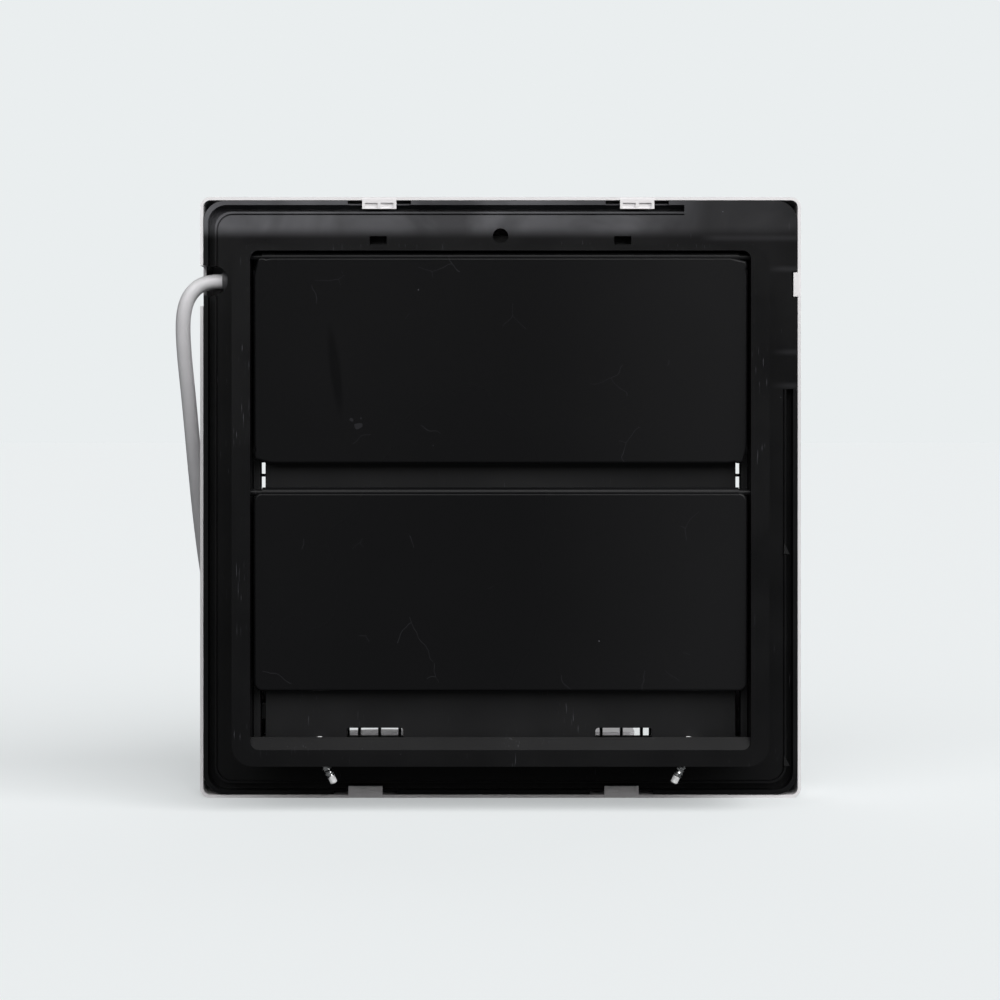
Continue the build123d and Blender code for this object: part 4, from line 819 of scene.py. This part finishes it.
galvanised = bright_metal("galvanised_steel_sheet", "#9A9DA0", "#C4C6C8", 0.3, 0.5, 900.0, 240.0)
# laminations: dark joints with painted shade in them; windings: painted shade between the turns
laminations = striped_metal("punched_steel_laminations", "#3A3A3D", "#77777B", 0.5, 0.5, "Y", 0.1)
copper = striped_metal("enamelled_copper_wire", "#6E2F14", "#C46A35", 0.3, 0.6, "Z", 0.25)
bronze = bright_metal("sintered_bronze", "#7E5A33", "#A9804E", 0.4, 0.6, 2600.0)
ground_steel = bright_metal("ground_steel", "#A2A3A5", "#C9CACB", 0.14, 0.26, 3200.0)
dress(galvanised, "motor_bracket", "motor_rear_shell", "motor_front_shell")
dress(laminations, "stator_core", "rotor_core")
dress(copper, "stator_windings")
dress(bronze, "rear_bearing", "front_bearing")
dress(ground_steel, "motor_shaft", "drive_pin")
dress(zinc_plate, "bracket_screws")

# ---------------------------------------------------------------- impeller
# One black polypropylene moulding, held to the shaft by a cross pin and a knurled cap nut.
# Room air leaves lint and a grey film of dust on its blades.
impeller_black = moulded_black(
    "dusty_black_polypropylene", "#141415", "#252527", 0.4, 0.6, 0.5, 0.3
)
softened("impeller", "impeller_moulding", 0.2, impeller_black, "rotor")
softened("cap_nut", "cap_nut_moulding", 0.2, impeller_black, "rotor")

# ---------------------------------------------------------------- white mouldings
# Front frame, intake grille and cover in white ABS, moulded in a polished tool: a soft
# even gloss, very slightly warm where the years of light have reached it.
def plain_plastic(name, tone_low, tone_high, rough_low, rough_high, ior=1.53):
    """Even plastic or rubber between two hex tones, with the fine flow marks of its tool."""
    material, tree, place = new_material(name)
    clouds = add_node(tree, "ShaderNodeTexNoise", {"Vector": place, "Scale": 9.0, "Detail": 3.0})
    tone = add_node(
        tree, "ShaderNodeMix",
        {0: clouds.outputs["Fac"], 6: hex_colour(tone_low), 7: hex_colour(tone_high)},
        data_type="RGBA",
    )
    rough = add_node(
        tree, "ShaderNodeMapRange",
        {"Value": clouds.outputs["Fac"], "To Min": rough_low, "To Max": rough_high},
    )
    flow = add_node(tree, "ShaderNodeTexNoise", {"Vector": place, "Scale": 1500.0, "Detail": 2.0})
    bump = add_node(
        tree, "ShaderNodeBump",
        {"Height": flow.outputs["Fac"], "Strength": 0.12, "Distance": 0.00005},
    )
    end_material(tree, tone.outputs[2], rough, bump, {"IOR": ior})
    return material


white_abs = plain_plastic("soft_gloss_white_abs", "#DEDCDD", "#E8E6E7", 0.26, 0.4)
dress(white_abs, "front_frame")
softened("intake_grille", "grille_moulding", 0.2, white_abs)
softened("front_cover", "cover_moulding", 0.25, white_abs, "front_cover")

# ---------------------------------------------------------------- wiring
# Black box and lid on the orifice plate, with the cord's grommet and clamp, a nylon
# terminal block, the run capacitor in its resin filled case and their insulated leads.
box_black = moulded_black("smooth_black_polypropylene", "#101011", "#161617", 0.34, 0.46, 0.6, 0.3)
softened("wiring_box", "wiring_box_moulding", 0.2, box_black)
softened("wiring_box_lid", "wiring_lid_moulding", 0.2, box_black)
softened("cord_clamp", "cord_clamp_moulding", 0.2, box_black)
dress(zinc_plate, "lid_screw", "clamp_screws", "capacitor_screw")
turned_brass = bright_metal("turned_brass", "#A5813F", "#CBA55C", 0.2, 0.34, 2400.0)
natural_nylon = plain_plastic("natural_nylon", "#CFCBBB", "#DEDACB", 0.36, 0.5)
grey_rubber = plain_plastic("soft_grey_rubber", "#3B3B3D", "#49494B", 0.55, 0.7, 1.5)
resin_case = plain_plastic("resin_filled_case", "#1A1A1D", "#232327", 0.2, 0.32)
brown_pvc = plain_plastic("brown_pvc_insulation", "#5A3219", "#6B3D20", 0.36, 0.48)
blue_pvc = plain_plastic("blue_pvc_insulation", "#1F4A8C", "#2A5AA3", 0.36, 0.48)
dress(turned_brass, "terminal_screws")
dress(natural_nylon, "terminal_block")
dress(grey_rubber, "cord_grommet")
dress(resin_case, "run_capacitor")
dress(brown_pvc, "capacitor_lead")
dress(blue_pvc, "motor_leads", "cord_cores")

# ---------------------------------------------------------------- plug
# Two pin plug moulded on to the cord in the same PVC, with a ribbed boot and nickel
# plated brass pins. The ribs are rings that grow with the boot towards the plug.
BOOT_START = (15.0, 160.0, 7.5)
RIB_R, RIB_WIRE, RIB_PITCH, RIB_SPAN, RIB_GROWTH = 4.8, 0.55, 2.6, 18.2, 0.033

rib_tree, given = new_tree("boot_ribs", ("Radius", "Wire", "Pitch", "Span"))
count = add_node(
    rib_tree, "ShaderNodeMath", {0: given["Span"], 1: given["Pitch"]},
    operation="DIVIDE",
)
step = add_node(rib_tree, "ShaderNodeCombineXYZ", {"X": given["Pitch"]})
row = add_node(
    rib_tree, "GeometryNodeMeshLine",
    {"Count": count.outputs[0], "Offset": step.outputs["Vector"]},
)
ring = add_node(
    rib_tree, "GeometryNodeCurvePrimitiveCircle", {"Resolution": 32, "Radius": given["Radius"]}
)
wire = add_node(
    rib_tree, "GeometryNodeCurvePrimitiveCircle", {"Resolution": 8, "Radius": given["Wire"]}
)
rib = add_node(
    rib_tree, "GeometryNodeCurveToMesh",
    {"Curve": ring.outputs["Curve"], "Profile Curve": wire.outputs["Curve"]},
)
place_in_row = add_node(rib_tree, "GeometryNodeInputIndex")
swell = add_node(
    rib_tree, "ShaderNodeMath", {0: place_in_row.outputs["Index"], 1: RIB_GROWTH, 2: 1.0},
    operation="MULTIPLY_ADD",
)
ribs = add_node(
    rib_tree, "GeometryNodeInstanceOnPoints",
    {
        "Points": row.outputs["Mesh"],
        "Instance": rib.outputs["Mesh"],
        "Rotation": (0.0, math.radians(90), 0.0),
        "Scale": swell.outputs[0],
    },
)
end_tree(rib_tree, ribs.outputs["Instances"], sheath)
boot_ribs = grown(
    "boot_ribs", rib_tree, {"Radius": RIB_R, "Wire": RIB_WIRE, "Pitch": RIB_PITCH, "Span": RIB_SPAN}
)
boot_ribs.data.transform(Matrix.Translation(Vector(BOOT_START) * MM))
boot_ribs.data.shade_smooth()
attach(boot_ribs, "fan_body")
dress(sheath, "plug_body")
nickel_plate = bright_metal("nickel_plated_brass", "#B9B6AE", "#DEDBD3", 0.12, 0.24, 1800.0)
dress(nickel_plate, "plug_pins")
